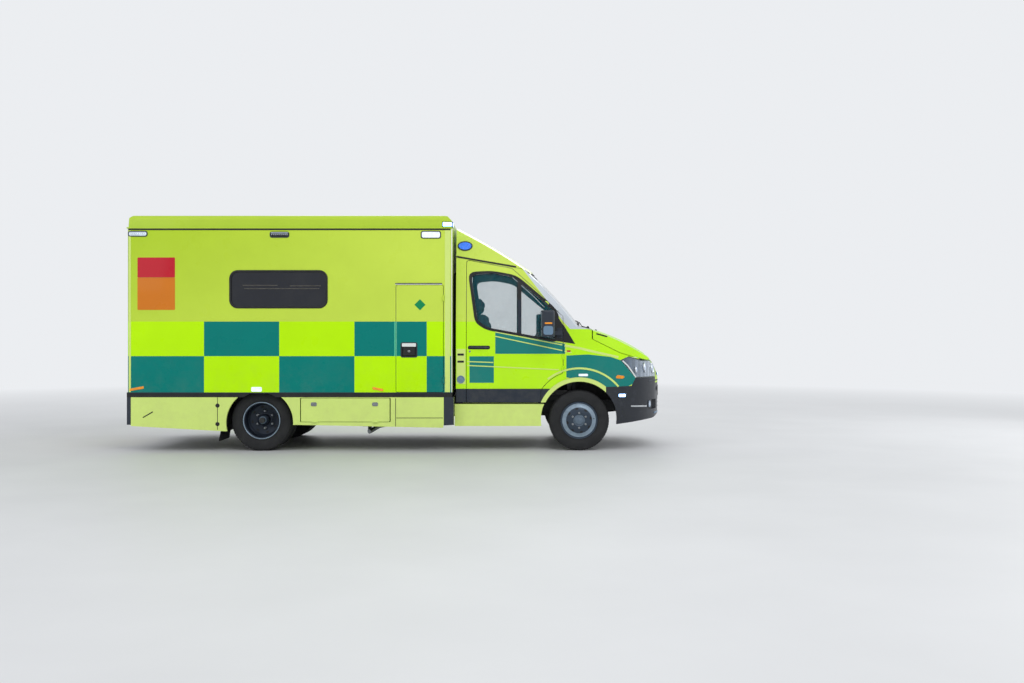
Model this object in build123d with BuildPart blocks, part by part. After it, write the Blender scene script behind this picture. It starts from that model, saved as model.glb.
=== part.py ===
from build123d import *
import os
from math import cos, radians, sin, sqrt

# Box-body ambulance on a van chassis. Millimetres, +X to the nose, +Y to the left, +Z up.
# The origin is on the ground, at mid length and mid width.
os.makedirs("parts", exist_ok=True)

# Length: the front axle is the station that the body is measured from
wheelbase = 3665
front_overhang = 1005
box_rear_overhang = 1519
step_reach = 66
front_axle = (wheelbase + box_rear_overhang + step_reach - front_overhang) / 2
rear_axle = front_axle - wheelbase
nose = front_axle + front_overhang
box_rear = rear_axle - box_rear_overhang

# Wheels and tyres
tyre_radius = 350
tyre_width = 205
bead_radius = 203
flange_radius = 215
rim_half = 74
front_track = 1700
twin_track = 1545
twin_spacing = 230
spindle_radius = 32
shaft_clearance = 0.05
axle_z = tyre_radius
front_arch_radius = 437
arch_lift = 14
well_inner_y = 565

# Widths and heights of the body
box_half_width = 1075
cab_half_width = 996
floor_rail_z = 625
floor_top_z = 680
roof_z = 2710
roof_rise = 154
gutter_z = roof_z - roof_rise

# Gauges, gaps and hinge sizes
wall = 45
cab_skin = 60
door_gap = 6
seat_gap = 0.3
trim_rise = 8
glass_inset = 14
glass_gauge = 6
hinge_sleeve = 34
hinge_knuckle = 16
hinge_play = 1
pin_size = 4
knuckle_size = 8
tab_reach = 16
tab_sink = 3

# Stations behind the front axle
box_front = front_axle - 1461
cab_back = front_axle - 1422

# Steering
kingpin_y = front_track / 2 - 55
steer_arm = 150

# Reach of cutting solids beyond the flanks of cab and box
cab_reach = cab_half_width + 104
cab_flank = cab_half_width / 2
cut_out_y = box_half_width + 125
cut_in_y = box_half_width - 75


def fx(distance):
    """Station at a distance ahead of the front axle."""
    return front_axle + distance


def ahead(points):
    """Side view points given from the front axle, as points of the whole vehicle."""
    return [(fx(x), z) for x, z in points]


def span(side, near, far):
    """Low and high end of a stretch to the left, from two distances out on one side."""
    return sorted((side * near, side * far))


def side_prism(outline, y_low, y_high, corner=0, grow=0):
    """Solid whose side view is the outline, between two distances left of the centreline."""
    with BuildPart() as prism:
        with BuildSketch(Plane.XZ.offset(-y_high)) as face:
            with BuildLine():
                Polyline(outline, close=True)
            make_face()
            if corner:
                fillet(face.vertices(), corner)
            if grow:
                offset(amount=grow, kind=Kind.INTERSECTION)
        extrude(amount=y_high - y_low)
    return prism.part


def front_prism(outline, x_low, x_high):
    """Solid whose front view is the outline, between two stations."""
    with BuildPart() as prism:
        with BuildSketch(Plane.YZ.offset(x_low)):
            with BuildLine():
                Polyline(outline, close=True)
            make_face()
        extrude(amount=x_high - x_low)
    return prism.part


def block(x_low, x_high, y_low, y_high, z_low, z_high):
    """Plain block between two corners."""
    with BuildPart() as solid:
        with BuildSketch(Plane.XY.offset(z_low)):
            with Locations(((x_low + x_high) / 2, (y_low + y_high) / 2)):
                Rectangle(x_high - x_low, y_high - y_low)
        extrude(amount=z_high - z_low)
    return solid.part


def cross_bar(x, z, radius, y_low, y_high):
    """Round bar across the vehicle."""
    with BuildPart() as bar:
        with BuildSketch(Plane.XZ.offset(-y_high)):
            with Locations((x, z)):
                Circle(radius)
        extrude(amount=y_high - y_low)
    return bar.part


def framed_hole(x_low, x_high, z_low, z_high, y_low, y_high, corner):
    """Round-cornered plate in side view, for a door leaf, a pane or the opening through a wall."""
    with BuildPart() as hole:
        with BuildSketch(Plane.XZ.offset(-y_high)):
            with Locations(((x_low + x_high) / 2, (z_low + z_high) / 2)):
                RectangleRounded(x_high - x_low, z_high - z_low, corner)
        extrude(amount=y_high - y_low)
    return hole.part


def save(builder, name):
    """Label a finished piece and write it."""
    builder.part.label = name
    export_step(builder.part, f"parts/{name}.step")


# Cab form: its side profile is turned about a far upright axis, which bows the screen and nose
turn_station = fx(-4000)
turn_half_angle = 34
cab_floor_z = 547
cab_profile_back = -1700
open_base_drop = 120


def cab_form(inset):
    """Outer form of cab, bonnet, nose and roof fairing, drawn in by an inset."""
    swing = radians(turn_half_angle)
    profile_plane = Plane(
        origin=(turn_station, 0, 0),
        x_dir=(cos(swing), -sin(swing), 0),
        z_dir=(-sin(swing), -cos(swing), 0),
    )

    slant = inset * sqrt(0.5)
    drop = open_base_drop if inset else 0

    def at(x, z):
        return (fx(x) - turn_station, z)

    with BuildPart() as form:
        with BuildSketch(profile_plane):
            with BuildLine():
                Polyline(at(-1000, cab_floor_z - drop), at(cab_profile_back, cab_floor_z - drop),
                         at(cab_profile_back, 2790), at(-1422, 2630 - inset))
                ThreePointArc(at(-1422, 2630 - inset), at(-960, 2380 - inset),
                              at(-530 - inset / 2, 2106 - inset))
                ThreePointArc(at(-530 - inset / 2, 2106 - inset), at(-230 - slant, 1812 - slant),
                              at(82 - slant, 1437 - slant))
                Line(at(82 - slant, 1437 - slant), at(150, 1425 - inset))
                ThreePointArc(at(150, 1425 - inset), at(578 - inset / 2, 1262 - inset),
                              at(879 - slant, 1078 - slant))
                ThreePointArc(at(879 - slant, 1078 - slant), at(972 - inset, 900),
                              at(front_overhang - inset, 538))
                Polyline(at(front_overhang - inset, 538), at(990 - inset, 400 - drop),
                         at(940 - inset, 366 - drop),
                         at(464, 297 - drop), at(340, 460 - drop), at(340, cab_floor_z - drop),
                         at(-1000, cab_floor_z - drop))
            make_face()
        revolve(axis=Axis((turn_station, 0, 0), (0, 0, 1)), revolution_arc=2 * turn_half_angle)
        side = cab_half_width - inset
        with BuildSketch(Plane.YZ.offset(cab_back)):
            with BuildLine():
                Polyline((0, 200), (side - 46, 200), (side - 11, cab_floor_z), (side, 1150))
                ThreePointArc((side, 1150), (side - 32, 1700), (side - 106, 2250))
                Line((side - 106, 2250), (side - 138, 2470 - inset))
                ThreePointArc((side - 138, 2470 - inset), (side - 184, 2560 - inset),
                              (side - 296, 2600 - inset))
                Line((side - 296, 2600 - inset), (0, 2680 - inset))
                mirror(about=Plane.YZ)
            make_face()
        extrude(amount=nose - cab_back, mode=Mode.INTERSECT)
        with BuildSketch(Plane.XY):
            with BuildLine():
                Polyline((cab_back + inset, 0), (cab_back + inset, side), (fx(300) - inset / 2, side))
                ThreePointArc((fx(300) - inset / 2, side), (fx(690) - inset, 900 - inset),
                              (fx(912) - inset, 640 - inset / 2))
                ThreePointArc((fx(912) - inset, 640 - inset / 2), (fx(990) - inset, 330),
                              (fx(1012) - inset, 0))
                mirror(about=Plane.XZ)
            make_face()
        extrude(amount=2 * roof_z, mode=Mode.INTERSECT)
    return form.part


cab_outer = cab_form(0)
cab_inner = cab_form(cab_skin)
cab_raised = cab_form(-trim_rise)
glass_outer = cab_form(glass_inset)
glass_inner = cab_form(glass_inset + glass_gauge)


def front_well(grow=0):
    """Space that both front wheels need at full lock, less the middle of the chassis."""
    radius = front_arch_radius + grow
    right = cross_bar(fx(0), axle_z + arch_lift, radius, -2 * cab_half_width, -well_inner_y - grow)
    left = cross_bar(fx(0), axle_z + arch_lift, radius, well_inner_y + grow, 2 * cab_half_width)
    return right + left


def hinge_parts(axis_plane, stations, leaf_tab, frame_tab, pin_radius, knuckle_radius):
    """Sleeves with their tabs for the leaf, and pins with knuckles and tabs for the frame.

    A tab is a low and a high corner in the plane across the hinge line.
    """
    def profile(tab):
        (u_low, v_low), (u_high, v_high) = tab
        Circle(knuckle_radius)
        with Locations(((u_low + u_high) / 2, (v_low + v_high) / 2)):
            Rectangle(abs(u_high - u_low), abs(v_high - v_low))

    with BuildPart() as sleeves:
        for station in stations:
            with BuildSketch(axis_plane.offset(station - hinge_sleeve / 2)):
                profile(leaf_tab)
                Circle(pin_radius + shaft_clearance, mode=Mode.SUBTRACT)
            extrude(amount=hinge_sleeve)
    reach = hinge_sleeve / 2 + hinge_play
    with BuildPart() as pins:
        for station in stations:
            for low in (station - reach - hinge_knuckle, station + reach):
                with BuildSketch(axis_plane.offset(low)):
                    profile(frame_tab)
                extrude(amount=hinge_knuckle)
            with BuildSketch(axis_plane.offset(station - reach)):
                Circle(pin_radius)
            extrude(amount=2 * reach)
    return sleeves.part, pins.part


sides = {"right": -1, "left": 1}
wheel_well = front_well()

# Shut lines of the cab in side view, from the front axle
door_rear = -1300
door_front = -190
door_sill_z = 560
door_corner = 26
window_corner_radius = 30
window_points = ahead([(-1249, 2033), (-1000, 2055), (-753, 2006), (-568, 1847), (-315, 1641), (-262, 1556),
                       (-262, 1280), (-1064, 1424), (-1174, 1501)])
window_bar = (fx(-707), fx(-672))
window_bar_heights = (1200, 2100)
roof_line = ahead([(-1500, 2262), (-650, 2112), (-560, 2045), (-430, 2190), (-430, 2900), (-1500, 2900)])


def door_zone(y_low, y_high, grow=0):
    """Side view of a cab door: an arc round the wheel, then the slanted pillar and the roof line."""
    with BuildPart() as zone:
        with BuildSketch(Plane.XZ.offset(-y_high)) as face:
            with BuildLine():
                Polyline(ahead([(door_front, 900), (door_front, 1545), (-490, 1850), (-720, 2055),
                                (-780, 2108),
                                (door_rear, 2205), (door_rear, door_sill_z), (-446, door_sill_z),
                                (-446, 700)]))
                ThreePointArc(ahead([(-446, 700), (-335, 822), (door_front, 900)]))
            make_face()
            fillet(face.vertices(), door_corner)
            if grow:
                offset(amount=grow, kind=Kind.INTERSECTION)
        extrude(amount=y_high - y_low)
    return zone.part


# Raised trim of the flanks: the cladding band along the sill and the lips of the front arches
cladding_rear = fx(-1416)
cladding_front = fx(-270)
cladding_low_z = 563
cladding_high_z = 717
arch_lip = 47
lip_blank = cross_bar(fx(0), axle_z + arch_lift, front_arch_radius + arch_lip, -cab_reach, cab_reach)
band_blank = block(cladding_rear, cladding_front, -cab_reach, cab_reach, cladding_low_z, cladding_high_z)
raised_trim = cab_raised & (lip_blank + band_blank)

# Right and left cab doors: a shell as thick as the cab skin, its window cut
cab_hinge_x = fx(door_front + 3)
cab_hinge_y = cab_half_width + 4
cab_hinge_stations = (950, 1090)
cab_tab_depth = 12
cab_pin = 2.5
cab_knuckle = 4.5
cab_hinges = {}
for side_name, side in sides.items():
    hinge_line = Plane(origin=(cab_hinge_x, side * cab_hinge_y, 0), x_dir=(1, 0, 0), z_dir=(0, 0, 1))
    cab_hinges[side_name] = hinge_parts(hinge_line, cab_hinge_stations,
                                        ((-tab_reach, -side * cab_tab_depth), (0, 0)),
                                        ((0, -side * cab_tab_depth), (tab_reach, 0)), cab_pin, cab_knuckle)
for side_name, side in sides.items():
    y_low, y_high = span(side, cab_flank, cab_reach)
    bar_rear, bar_front = window_bar
    bar_low, bar_high = window_bar_heights
    window = side_prism(window_points, y_low, y_high, window_corner_radius)
    window_bar_solid = block(bar_rear, bar_front, y_low, y_high, bar_low, bar_high)
    with BuildPart() as door:
        add(cab_outer)
        add(raised_trim)
        add(cab_inner, mode=Mode.SUBTRACT)
        add(door_zone(y_low, y_high), mode=Mode.INTERSECT)
        add(window - window_bar_solid, mode=Mode.SUBTRACT)
        add(cab_hinges[side_name][0])
    save(door, f"cab_door_{side_name}")
    with BuildPart() as pane:
        add(glass_outer)
        add(glass_inner, mode=Mode.SUBTRACT)
        add(side_prism(window_points, y_low, y_high, window_corner_radius, -seat_gap), mode=Mode.INTERSECT)
        add(block(bar_rear - seat_gap, bar_front + seat_gap, y_low, y_high, bar_low, bar_high),
            mode=Mode.SUBTRACT)
    save(pane, f"cab_glass_{side_name}")

# Windscreen: one bowed pane between the pillars, scuttle and roof
screen_side = ahead([(-556, 2055), (-430, 2150), (300, 1900), (84, 1600), (84, 1400), (60, 1330)])
screen_bottom_half = 800
screen_top_half = 700
screen_foot_z = 1440
screen_head_z = 2100
screen_zone = side_prism(screen_side, -cab_reach, cab_reach)
roof_zone = side_prism(roof_line, -cab_reach, cab_reach)
screen_front = [(-screen_bottom_half, 1200), (screen_bottom_half, 1200), (screen_bottom_half, screen_foot_z),
                (screen_top_half, screen_head_z), (screen_top_half, 2300), (-screen_top_half, 2300),
                (-screen_top_half, screen_head_z), (-screen_bottom_half, screen_foot_z)]
screen_cut = screen_zone & front_prism(screen_front, fx(-900), fx(400))
with BuildPart() as windscreen:
    add(glass_outer)
    add(glass_inner, mode=Mode.SUBTRACT)
    add(screen_cut, mode=Mode.INTERSECT)
save(windscreen, "windscreen")

# Roof with its air fairing, up to the front wall of the box
with BuildPart() as cab_roof:
    add(cab_outer)
    add(roof_zone, mode=Mode.INTERSECT)
    add(screen_cut, mode=Mode.SUBTRACT)
save(cab_roof, "cab_roof")

# Pillars and window surrounds of both sides
pillar_inner_y = 815
pillar_core_front = fx(200)
pillar_outline = ahead([(-1422, 560), (-1422, 2600), (-300, 2600), (100, 1500), (144, 1420), (144, 1290),
                        (-184, 1252), (-240, 1252), (-240, 1620), (-1250, 1620), (-1250, 560)])
with BuildPart() as cab_sides:
    add(cab_outer)
    add(raised_trim)
    add(cab_inner, mode=Mode.SUBTRACT)
    add(side_prism(pillar_outline, -cab_reach, cab_reach), mode=Mode.INTERSECT)
    add(block(cab_back - wall, pillar_core_front, -pillar_inner_y, pillar_inner_y, 0, screen_head_z),
        mode=Mode.SUBTRACT)
    add(door_zone(-cab_reach, cab_reach, door_gap), mode=Mode.SUBTRACT)
    add(roof_zone, mode=Mode.SUBTRACT)
    add(screen_cut, mode=Mode.SUBTRACT)
save(cab_sides, "cab_sides")

# Bonnet: a thin clamshell lid down to the crease above the wing, hung at its rear edge
bonnet_skin = 30
bonnet_rear = 156
bonnet_outline = ahead([(bonnet_rear, 1290), (470, 1135), (640, 1085), (790, 1050), (1100, 1050),
                        (1100, 1600),
                        (bonnet_rear, 1600)])
bonnet_hinge_z = 1402
bonnet_hinge_stations = (-600, 600)
bonnet_notch = 36
bonnet_inner = cab_form(bonnet_skin)
bonnet_hinge = Plane(origin=(fx(bonnet_rear - 6), 0, bonnet_hinge_z), x_dir=(1, 0, 0), z_dir=(0, 1, 0))
bonnet_sleeves, bonnet_pins = hinge_parts(bonnet_hinge, bonnet_hinge_stations, ((0, -4), (20, 4)),
                                          ((-24, -4), (0, 4)), pin_size - 1, knuckle_size - 1)
with BuildPart() as bonnet:
    add(cab_outer)
    add(bonnet_inner, mode=Mode.SUBTRACT)
    add(side_prism(bonnet_outline, -cab_reach, cab_reach), mode=Mode.INTERSECT)
    for station in bonnet_hinge_stations:
        add(block(fx(bonnet_rear - 16), fx(bonnet_rear + 6), station - bonnet_notch, station + bonnet_notch,
                  bonnet_hinge_z - 22, bonnet_hinge_z + 38), mode=Mode.SUBTRACT)
    add(bonnet_sleeves)
save(bonnet, "bonnet")

# Scuttle between windscreen and bonnet
scuttle_outline = ahead([(30, 1290), (132, 1290), (132, 1600), (84, 1500), (30, 1470)])
scuttle_half = pillar_inner_y - seat_gap
with BuildPart() as scuttle:
    add(cab_outer)
    add(cab_inner, mode=Mode.SUBTRACT)
    add(side_prism(scuttle_outline, -scuttle_half, scuttle_half), mode=Mode.INTERSECT)
    add(screen_cut, mode=Mode.SUBTRACT)
    add(bonnet_pins)
save(scuttle, "scuttle")

# Headlamps: wedges that wrap round the corners of the nose
lamp_depth = 120
lamp_inner_y = 560
nose_seam_z = 840
lamp_core = cab_form(lamp_depth)
lamp_outline = ahead([(475, 1048), (573, 1092), (735, 1046), (1100, 1040), (1100, nose_seam_z),
                      (655, nose_seam_z)])
with BuildPart() as headlamps:
    add(cab_outer)
    add(lamp_core, mode=Mode.SUBTRACT)
    add(side_prism(lamp_outline, -cab_reach, cab_reach), mode=Mode.INTERSECT)
    add(block(fx(0), nose + wall, -lamp_inner_y, lamp_inner_y, 0, roof_z), mode=Mode.SUBTRACT)
save(headlamps, "headlamps")

# Grille: slats between two rows of slots, left and right of the middle
nose_depth = 80
slot_count = 4
slot_pitch = 44
slot_height = 22
slot_end = 26
grille_high_z = 1042
grille_half = lamp_inner_y - seat_gap
nose_core = cab_form(nose_depth)
nose_blank_rear = fx(500)
with BuildPart() as grille:
    add(cab_outer)
    add(nose_core, mode=Mode.SUBTRACT)
    add(block(nose_blank_rear, nose + wall, -grille_half, grille_half, nose_seam_z, grille_high_z),
        mode=Mode.INTERSECT)
    for index in range(slot_count):
        slot_z = nose_seam_z + slot_height + index * slot_pitch
        for side in (-1, 1):
            near, far = span(side, slot_end, grille_half - slot_end)
            add(block(nose_blank_rear, nose + wall, near, far, slot_z, slot_z + slot_height),
                mode=Mode.SUBTRACT)
save(grille, "grille")

# Front bumper with its air intake and the pockets at its corners, open over the wheels
bumper_top_z = nose_seam_z - seat_gap
bumper_outline = ahead([(306, 738), (606.6, 749), (655, bumper_top_z), (1100, bumper_top_z), (1100, 200),
                        (306, 200)])
intake_half = 420
intake_low_z = 448
intake_slots = 3
intake_slot_height = 30
intake_slot_pitch = 44
pocket_depth = 34
pocket_inner_y = 560
pocket_outer_y = 800
pocket_low_z = 470
pocket_high_z = 580
pocket_core = cab_form(pocket_depth)
with BuildPart() as front_bumper:
    add(cab_outer)
    add(nose_core, mode=Mode.SUBTRACT)
    add(side_prism(bumper_outline, -cab_reach, cab_reach), mode=Mode.INTERSECT)
    add(wheel_well, mode=Mode.SUBTRACT)
    for index in range(intake_slots):
        slot_z = intake_low_z + index * intake_slot_pitch
        add(block(nose_blank_rear, nose + wall, -intake_half, intake_half, slot_z,
                  slot_z + intake_slot_height),
            mode=Mode.SUBTRACT)
    for side in (-1, 1):
        near, far = span(side, pocket_inner_y, pocket_outer_y)
        add(block(nose_blank_rear, nose + wall, near, far, pocket_low_z, pocket_high_z) - pocket_core,
            mode=Mode.SUBTRACT)
save(front_bumper, "front_bumper")

# Wings: the flanks left between door, pillar, bonnet, headlamp and bumper, open over the wheels
wing_outline = ahead([(-446, door_sill_z), (700, door_sill_z), (700, 1290), (144, 1290), (-184, 1252),
                      (-446, 1252)])
wing_inner_y = 700
with BuildPart() as front_wings:
    add(cab_outer)
    add(raised_trim)
    add(cab_inner, mode=Mode.SUBTRACT)
    add(side_prism(wing_outline, -cab_reach, cab_reach), mode=Mode.INTERSECT)
    add(block(fx(-600), fx(800), -wing_inner_y, wing_inner_y, 0, roof_z), mode=Mode.SUBTRACT)
    add(wheel_well, mode=Mode.SUBTRACT)
    add(door_zone(-cab_reach, cab_reach, door_gap), mode=Mode.SUBTRACT)
    add(side_prism(pillar_outline, -cab_reach, cab_reach, 0, seat_gap), mode=Mode.SUBTRACT)
    add(side_prism(bonnet_outline, -cab_reach, cab_reach, 0, door_gap), mode=Mode.SUBTRACT)
    add(side_prism(lamp_outline, -cab_reach, cab_reach, 0, seat_gap), mode=Mode.SUBTRACT)
    add(side_prism(bumper_outline, -cab_reach, cab_reach, 0, seat_gap), mode=Mode.SUBTRACT)
    for sleeves, pins in cab_hinges.values():
        add(pins)
save(front_wings, "front_wings")

# Cab floor with the fire wall between the wheel wells
cab_floor_half = 905
cab_floor_bottom = 560
cab_floor_top = 620
floor_neck = fx(-445)
fire_wall_rear = fx(-60)
fire_wall_front = fx(-20)
fire_wall_step_z = 830
fire_wall_top_z = 1280
neck_half = well_inner_y - door_gap
with BuildPart() as cab_floor:
    add(block(cab_back + cab_skin, floor_neck, -cab_floor_half, cab_floor_half, cab_floor_bottom,
              cab_floor_top))
    add(block(floor_neck, fire_wall_front, -neck_half, neck_half, cab_floor_bottom, cab_floor_top))
    add(block(fire_wall_rear, fire_wall_front, -neck_half, neck_half, cab_floor_top, fire_wall_top_z))
    add(block(fire_wall_rear, fire_wall_front, -cab_floor_half, cab_floor_half, fire_wall_step_z,
              fire_wall_top_z))
save(cab_floor, "cab_floor")

cab_back_top_z = 2100
with BuildPart() as cab_back_wall:
    add(block(cab_back, cab_back + cab_skin, -pillar_inner_y, pillar_inner_y, cab_floor_bottom,
              cab_back_top_z))
save(cab_back_wall, "cab_back")

# Dashboard with the steering column
dash_outline = ahead([(-380, 1010), (-420, 1130), (-330, 1240), (-60, 1270), (-60, 900), (-330, 900)])
dash_half = 800
driver_y = -430
column_tilt = 32
column_radius = 34
column_length = 190
hub_back = 30
steering_hub = (fx(-560), driver_y, 1200)
column_plane = Plane(origin=steering_hub, x_dir=(0, 1, 0),
                     z_dir=(-cos(radians(column_tilt)), 0, sin(radians(column_tilt))))
with BuildPart() as dashboard:
    add(side_prism(dash_outline, -dash_half, dash_half))
    with BuildSketch(column_plane.offset(-hub_back - seat_gap)):
        Circle(column_radius)
    extrude(amount=-column_length)
save(dashboard, "dashboard")

# Two seats on their bases
seat_outline = ahead([(-600, 900), (-640, 840), (-1100, 830), (-1330, 1560), (-1220, 1590), (-1075, 990),
                      (-640, 960)])
seat_half = 245
seat_base_half = 190
seat_base_rear = fx(-1090)
seat_base_front = fx(-680)
seat_base_top = 840
with BuildPart() as seats:
    for side in (-1, 1):
        seat_y = side * abs(driver_y)
        add(side_prism(seat_outline, seat_y - seat_half, seat_y + seat_half))
        add(block(seat_base_rear, seat_base_front, seat_y - seat_base_half, seat_y + seat_base_half,
                  cab_floor_top, seat_base_top))
save(seats, "seats")

# Steering wheel: rim, hub and three spokes, square to the column
grip_ring = 192
grip_radius = 14
wheel_hub_radius = 62
wheel_hub_length = 38
spoke_gauge = 14
spoke_width = 40
with BuildPart() as steering_wheel:
    with BuildSketch(Plane(origin=steering_hub, x_dir=column_plane.z_dir, z_dir=(0, 1, 0))):
        with Locations((0, grip_ring)):
            Circle(grip_radius)
    revolve(axis=Axis(steering_hub, column_plane.z_dir))
    with BuildSketch(column_plane.offset(-hub_back)):
        Circle(wheel_hub_radius)
    extrude(amount=wheel_hub_length)
    for spoke_turn in (0, 90, 180):
        with BuildSketch(column_plane.offset(-spoke_gauge)):
            with PolarLocations(grip_ring / 2, 1, spoke_turn):
                Rectangle(grip_ring, spoke_width)
        extrude(amount=spoke_gauge)
save(steering_wheel, "steering_wheel")

# Box body: sizes of its walls, openings and wheel boxes
inner_half = box_half_width - wall
wall_corner = wall - 5
rear_well_radius = 372
rear_well_inner_y = 540
wheel_box_wall = 20
sheet_inset = 8
sheet_gauge = 4
strip_notch_radius = 332
sill_gap = 4
pane_inset = 8
pane_gauge = 8
window_low = (fx(-3999), 1653)
window_high = (fx(-2896), 2068)
window_corner = 85
locker_rear = fx(-2101)
locker_front = fx(-1564)
locker_low_z = floor_top_z + sill_gap
locker_high_z = 1908
locker_corner = 20
entry_rear = fx(-2330)
entry_front = fx(-1600)
entry_low_z = floor_top_z + sill_gap
entry_high_z = gutter_z - 116
entry_corner = 36
rear_door_half = 700
rear_door_low_z = floor_top_z + 20
rear_door_high_z = gutter_z - 126
leaf_gauge = 40

# Floor with its edge rail, floor sheet and the boxes over the rear wheels
wheel_box_reach = rear_well_radius + wheel_box_wall
above_floor = block(rear_axle - wheel_box_reach, rear_axle + wheel_box_reach, -inner_half, inner_half,
                    floor_top_z, axle_z + wheel_box_reach)
sheet_edge = wall + sheet_inset
sheet_half = inner_half - sheet_inset
with BuildPart() as box_floor:
    add(block(box_rear, box_front, -box_half_width, box_half_width, floor_rail_z, floor_top_z))
    add(block(box_rear + sheet_edge, box_front - sheet_edge, -sheet_half, sheet_half,
              floor_top_z, floor_top_z + sheet_gauge))
    for side in (-1, 1):
        near, far = span(side, rear_well_inner_y - wheel_box_wall, inner_half)
        add(cross_bar(rear_axle, axle_z, wheel_box_reach, near, far) & above_floor)
    for side in (-1, 1):
        near, far = span(side, rear_well_inner_y, inner_half)
        add(cross_bar(rear_axle, axle_z, rear_well_radius, near, far), mode=Mode.SUBTRACT)
        near, far = span(side, inner_half, cut_out_y)
        add(cross_bar(rear_axle, axle_z, strip_notch_radius, near, far), mode=Mode.SUBTRACT)
save(box_floor, "box_floor")

# Hinges of the box doors, outside the walls
hinge_stand = knuckle_size + 1
side_hinge_y = box_half_width + hinge_stand
locker_sleeves, locker_pins = hinge_parts(
    Plane(origin=(locker_front + door_gap / 2, -side_hinge_y, 0), x_dir=(1, 0, 0), z_dir=(0, 0, 1)),
    (locker_low_z + 136, locker_high_z - 148),
    ((-tab_reach, -tab_sink), (0, hinge_stand)), ((0, -tab_sink), (tab_reach, hinge_stand)), pin_size,
                                          knuckle_size)
entry_sleeves, entry_pins = hinge_parts(
    Plane(origin=(entry_front + door_gap / 2, side_hinge_y, 0), x_dir=(1, 0, 0), z_dir=(0, 0, 1)),
    (entry_low_z + 176, (entry_low_z + entry_high_z) / 2, entry_high_z - 180),
    ((-tab_reach, -hinge_stand), (0, tab_sink)), ((0, -hinge_stand), (tab_reach, tab_sink)), pin_size,
                                        knuckle_size)
rear_hinge_stations = (rear_door_low_z + 160, (rear_door_low_z + rear_door_high_z) / 2,
                       rear_door_high_z - 170)
rear_hinges = {}
for side_name, side in sides.items():
    hinge_line = Plane(origin=(box_rear - hinge_stand, side * (rear_door_half + door_gap / 2), 0),
                       x_dir=(1, 0, 0), z_dir=(0, 0, 1))
    rear_hinges[side_name] = hinge_parts(hinge_line, rear_hinge_stations,
                                         ((-tab_sink, -side * tab_reach), (hinge_stand, 0)),
                                         ((-tab_sink, 0), (hinge_stand, side * tab_reach)), pin_size,
                                         knuckle_size)

# Side walls with round corners, the window and the two door openings, front wall and rear frame
with BuildPart() as box_wall_right:
    add(block(box_rear, box_front, -box_half_width, -inner_half, floor_top_z, gutter_z))
    fillet(box_wall_right.edges().filter_by(Axis.Z).group_by(Axis.Y)[0], wall_corner)
    add(framed_hole(window_low[0], window_high[0], window_low[1], window_high[1], -cut_out_y, -cut_in_y,
                    window_corner),
        mode=Mode.SUBTRACT)
    add(framed_hole(locker_rear - door_gap, locker_front + door_gap, locker_low_z - door_gap,
                    locker_high_z + door_gap, -cut_out_y, -cut_in_y, locker_corner + door_gap),
        mode=Mode.SUBTRACT)
    add(locker_pins)
save(box_wall_right, "box_wall_right")

with BuildPart() as box_wall_left:
    add(block(box_rear, box_front, inner_half, box_half_width, floor_top_z, gutter_z))
    fillet(box_wall_left.edges().filter_by(Axis.Z).group_by(Axis.Y)[-1], wall_corner)
    add(framed_hole(entry_rear - door_gap, entry_front + door_gap, entry_low_z - door_gap,
                    entry_high_z + door_gap, cut_in_y, cut_out_y, entry_corner + door_gap),
        mode=Mode.SUBTRACT)
    add(entry_pins)
save(box_wall_left, "box_wall_left")

with BuildPart() as box_front_wall:
    add(block(box_front - wall, box_front, -inner_half, inner_half, floor_top_z, gutter_z))
save(box_front_wall, "box_front_wall")

frame_half = rear_door_half + door_gap
with BuildPart() as box_rear_frame:
    add(block(box_rear, box_rear + wall, -inner_half, inner_half, floor_top_z, gutter_z))
    add(block(box_rear - wall, box_rear + 2 * wall, -frame_half, frame_half,
              rear_door_low_z - door_gap, rear_door_high_z + door_gap), mode=Mode.SUBTRACT)
    for sleeves, pins in rear_hinges.values():
        add(pins)
save(box_rear_frame, "box_rear_frame")

# Roof cap with its gutter strip, sloped at the front end
gutter_reach = 6
gutter_height = 14
roof_inset = 22
roof_edge_radius = 55
roof_slope_start = fx(-1513)
roof_outline = [(box_rear, gutter_z), (box_front, gutter_z), (box_front, roof_z - 70),
                (roof_slope_start, roof_z - 12),
                (roof_slope_start - 40, roof_z), (box_rear + 60, roof_z), (box_rear + 20, roof_z - 30),
                (box_rear + 12, gutter_z + gutter_height), (box_rear, gutter_z + gutter_height)]
cap_half = box_half_width - roof_inset
strip_half = box_half_width + gutter_reach
with BuildPart() as box_roof:
    add(side_prism(roof_outline, -cap_half, cap_half))
    fillet(box_roof.edges().filter_by(Axis.X).group_by(Axis.Z)[-1], roof_edge_radius)
    add(block(box_rear, box_front, -strip_half, strip_half, gutter_z, gutter_z + gutter_height))
save(box_roof, "box_roof")

pane_outer = box_half_width - pane_inset
pane_inner = pane_outer - pane_gauge
with BuildPart() as box_window:
    add(framed_hole(window_low[0] + seat_gap, window_high[0] - seat_gap, window_low[1] + seat_gap,
                    window_high[1] - seat_gap, -pane_outer, -pane_inner, window_corner - seat_gap))
save(box_window, "box_window")

# Locker door on the right with its recess for the latch
latch_rear = fx(-2044)
latch_front = fx(-1866)
latch_low_z = 1086
latch_high_z = 1246
latch_corner = 14
latch_depth = 16
with BuildPart() as locker_door:
    add(framed_hole(locker_rear, locker_front, locker_low_z, locker_high_z, -box_half_width,
                    leaf_gauge - box_half_width, locker_corner))
    add(framed_hole(latch_rear, latch_front, latch_low_z, latch_high_z, -cut_out_y,
                    latch_depth - box_half_width,
                    latch_corner), mode=Mode.SUBTRACT)
    add(locker_sleeves)
save(locker_door, "locker_door")

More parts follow.
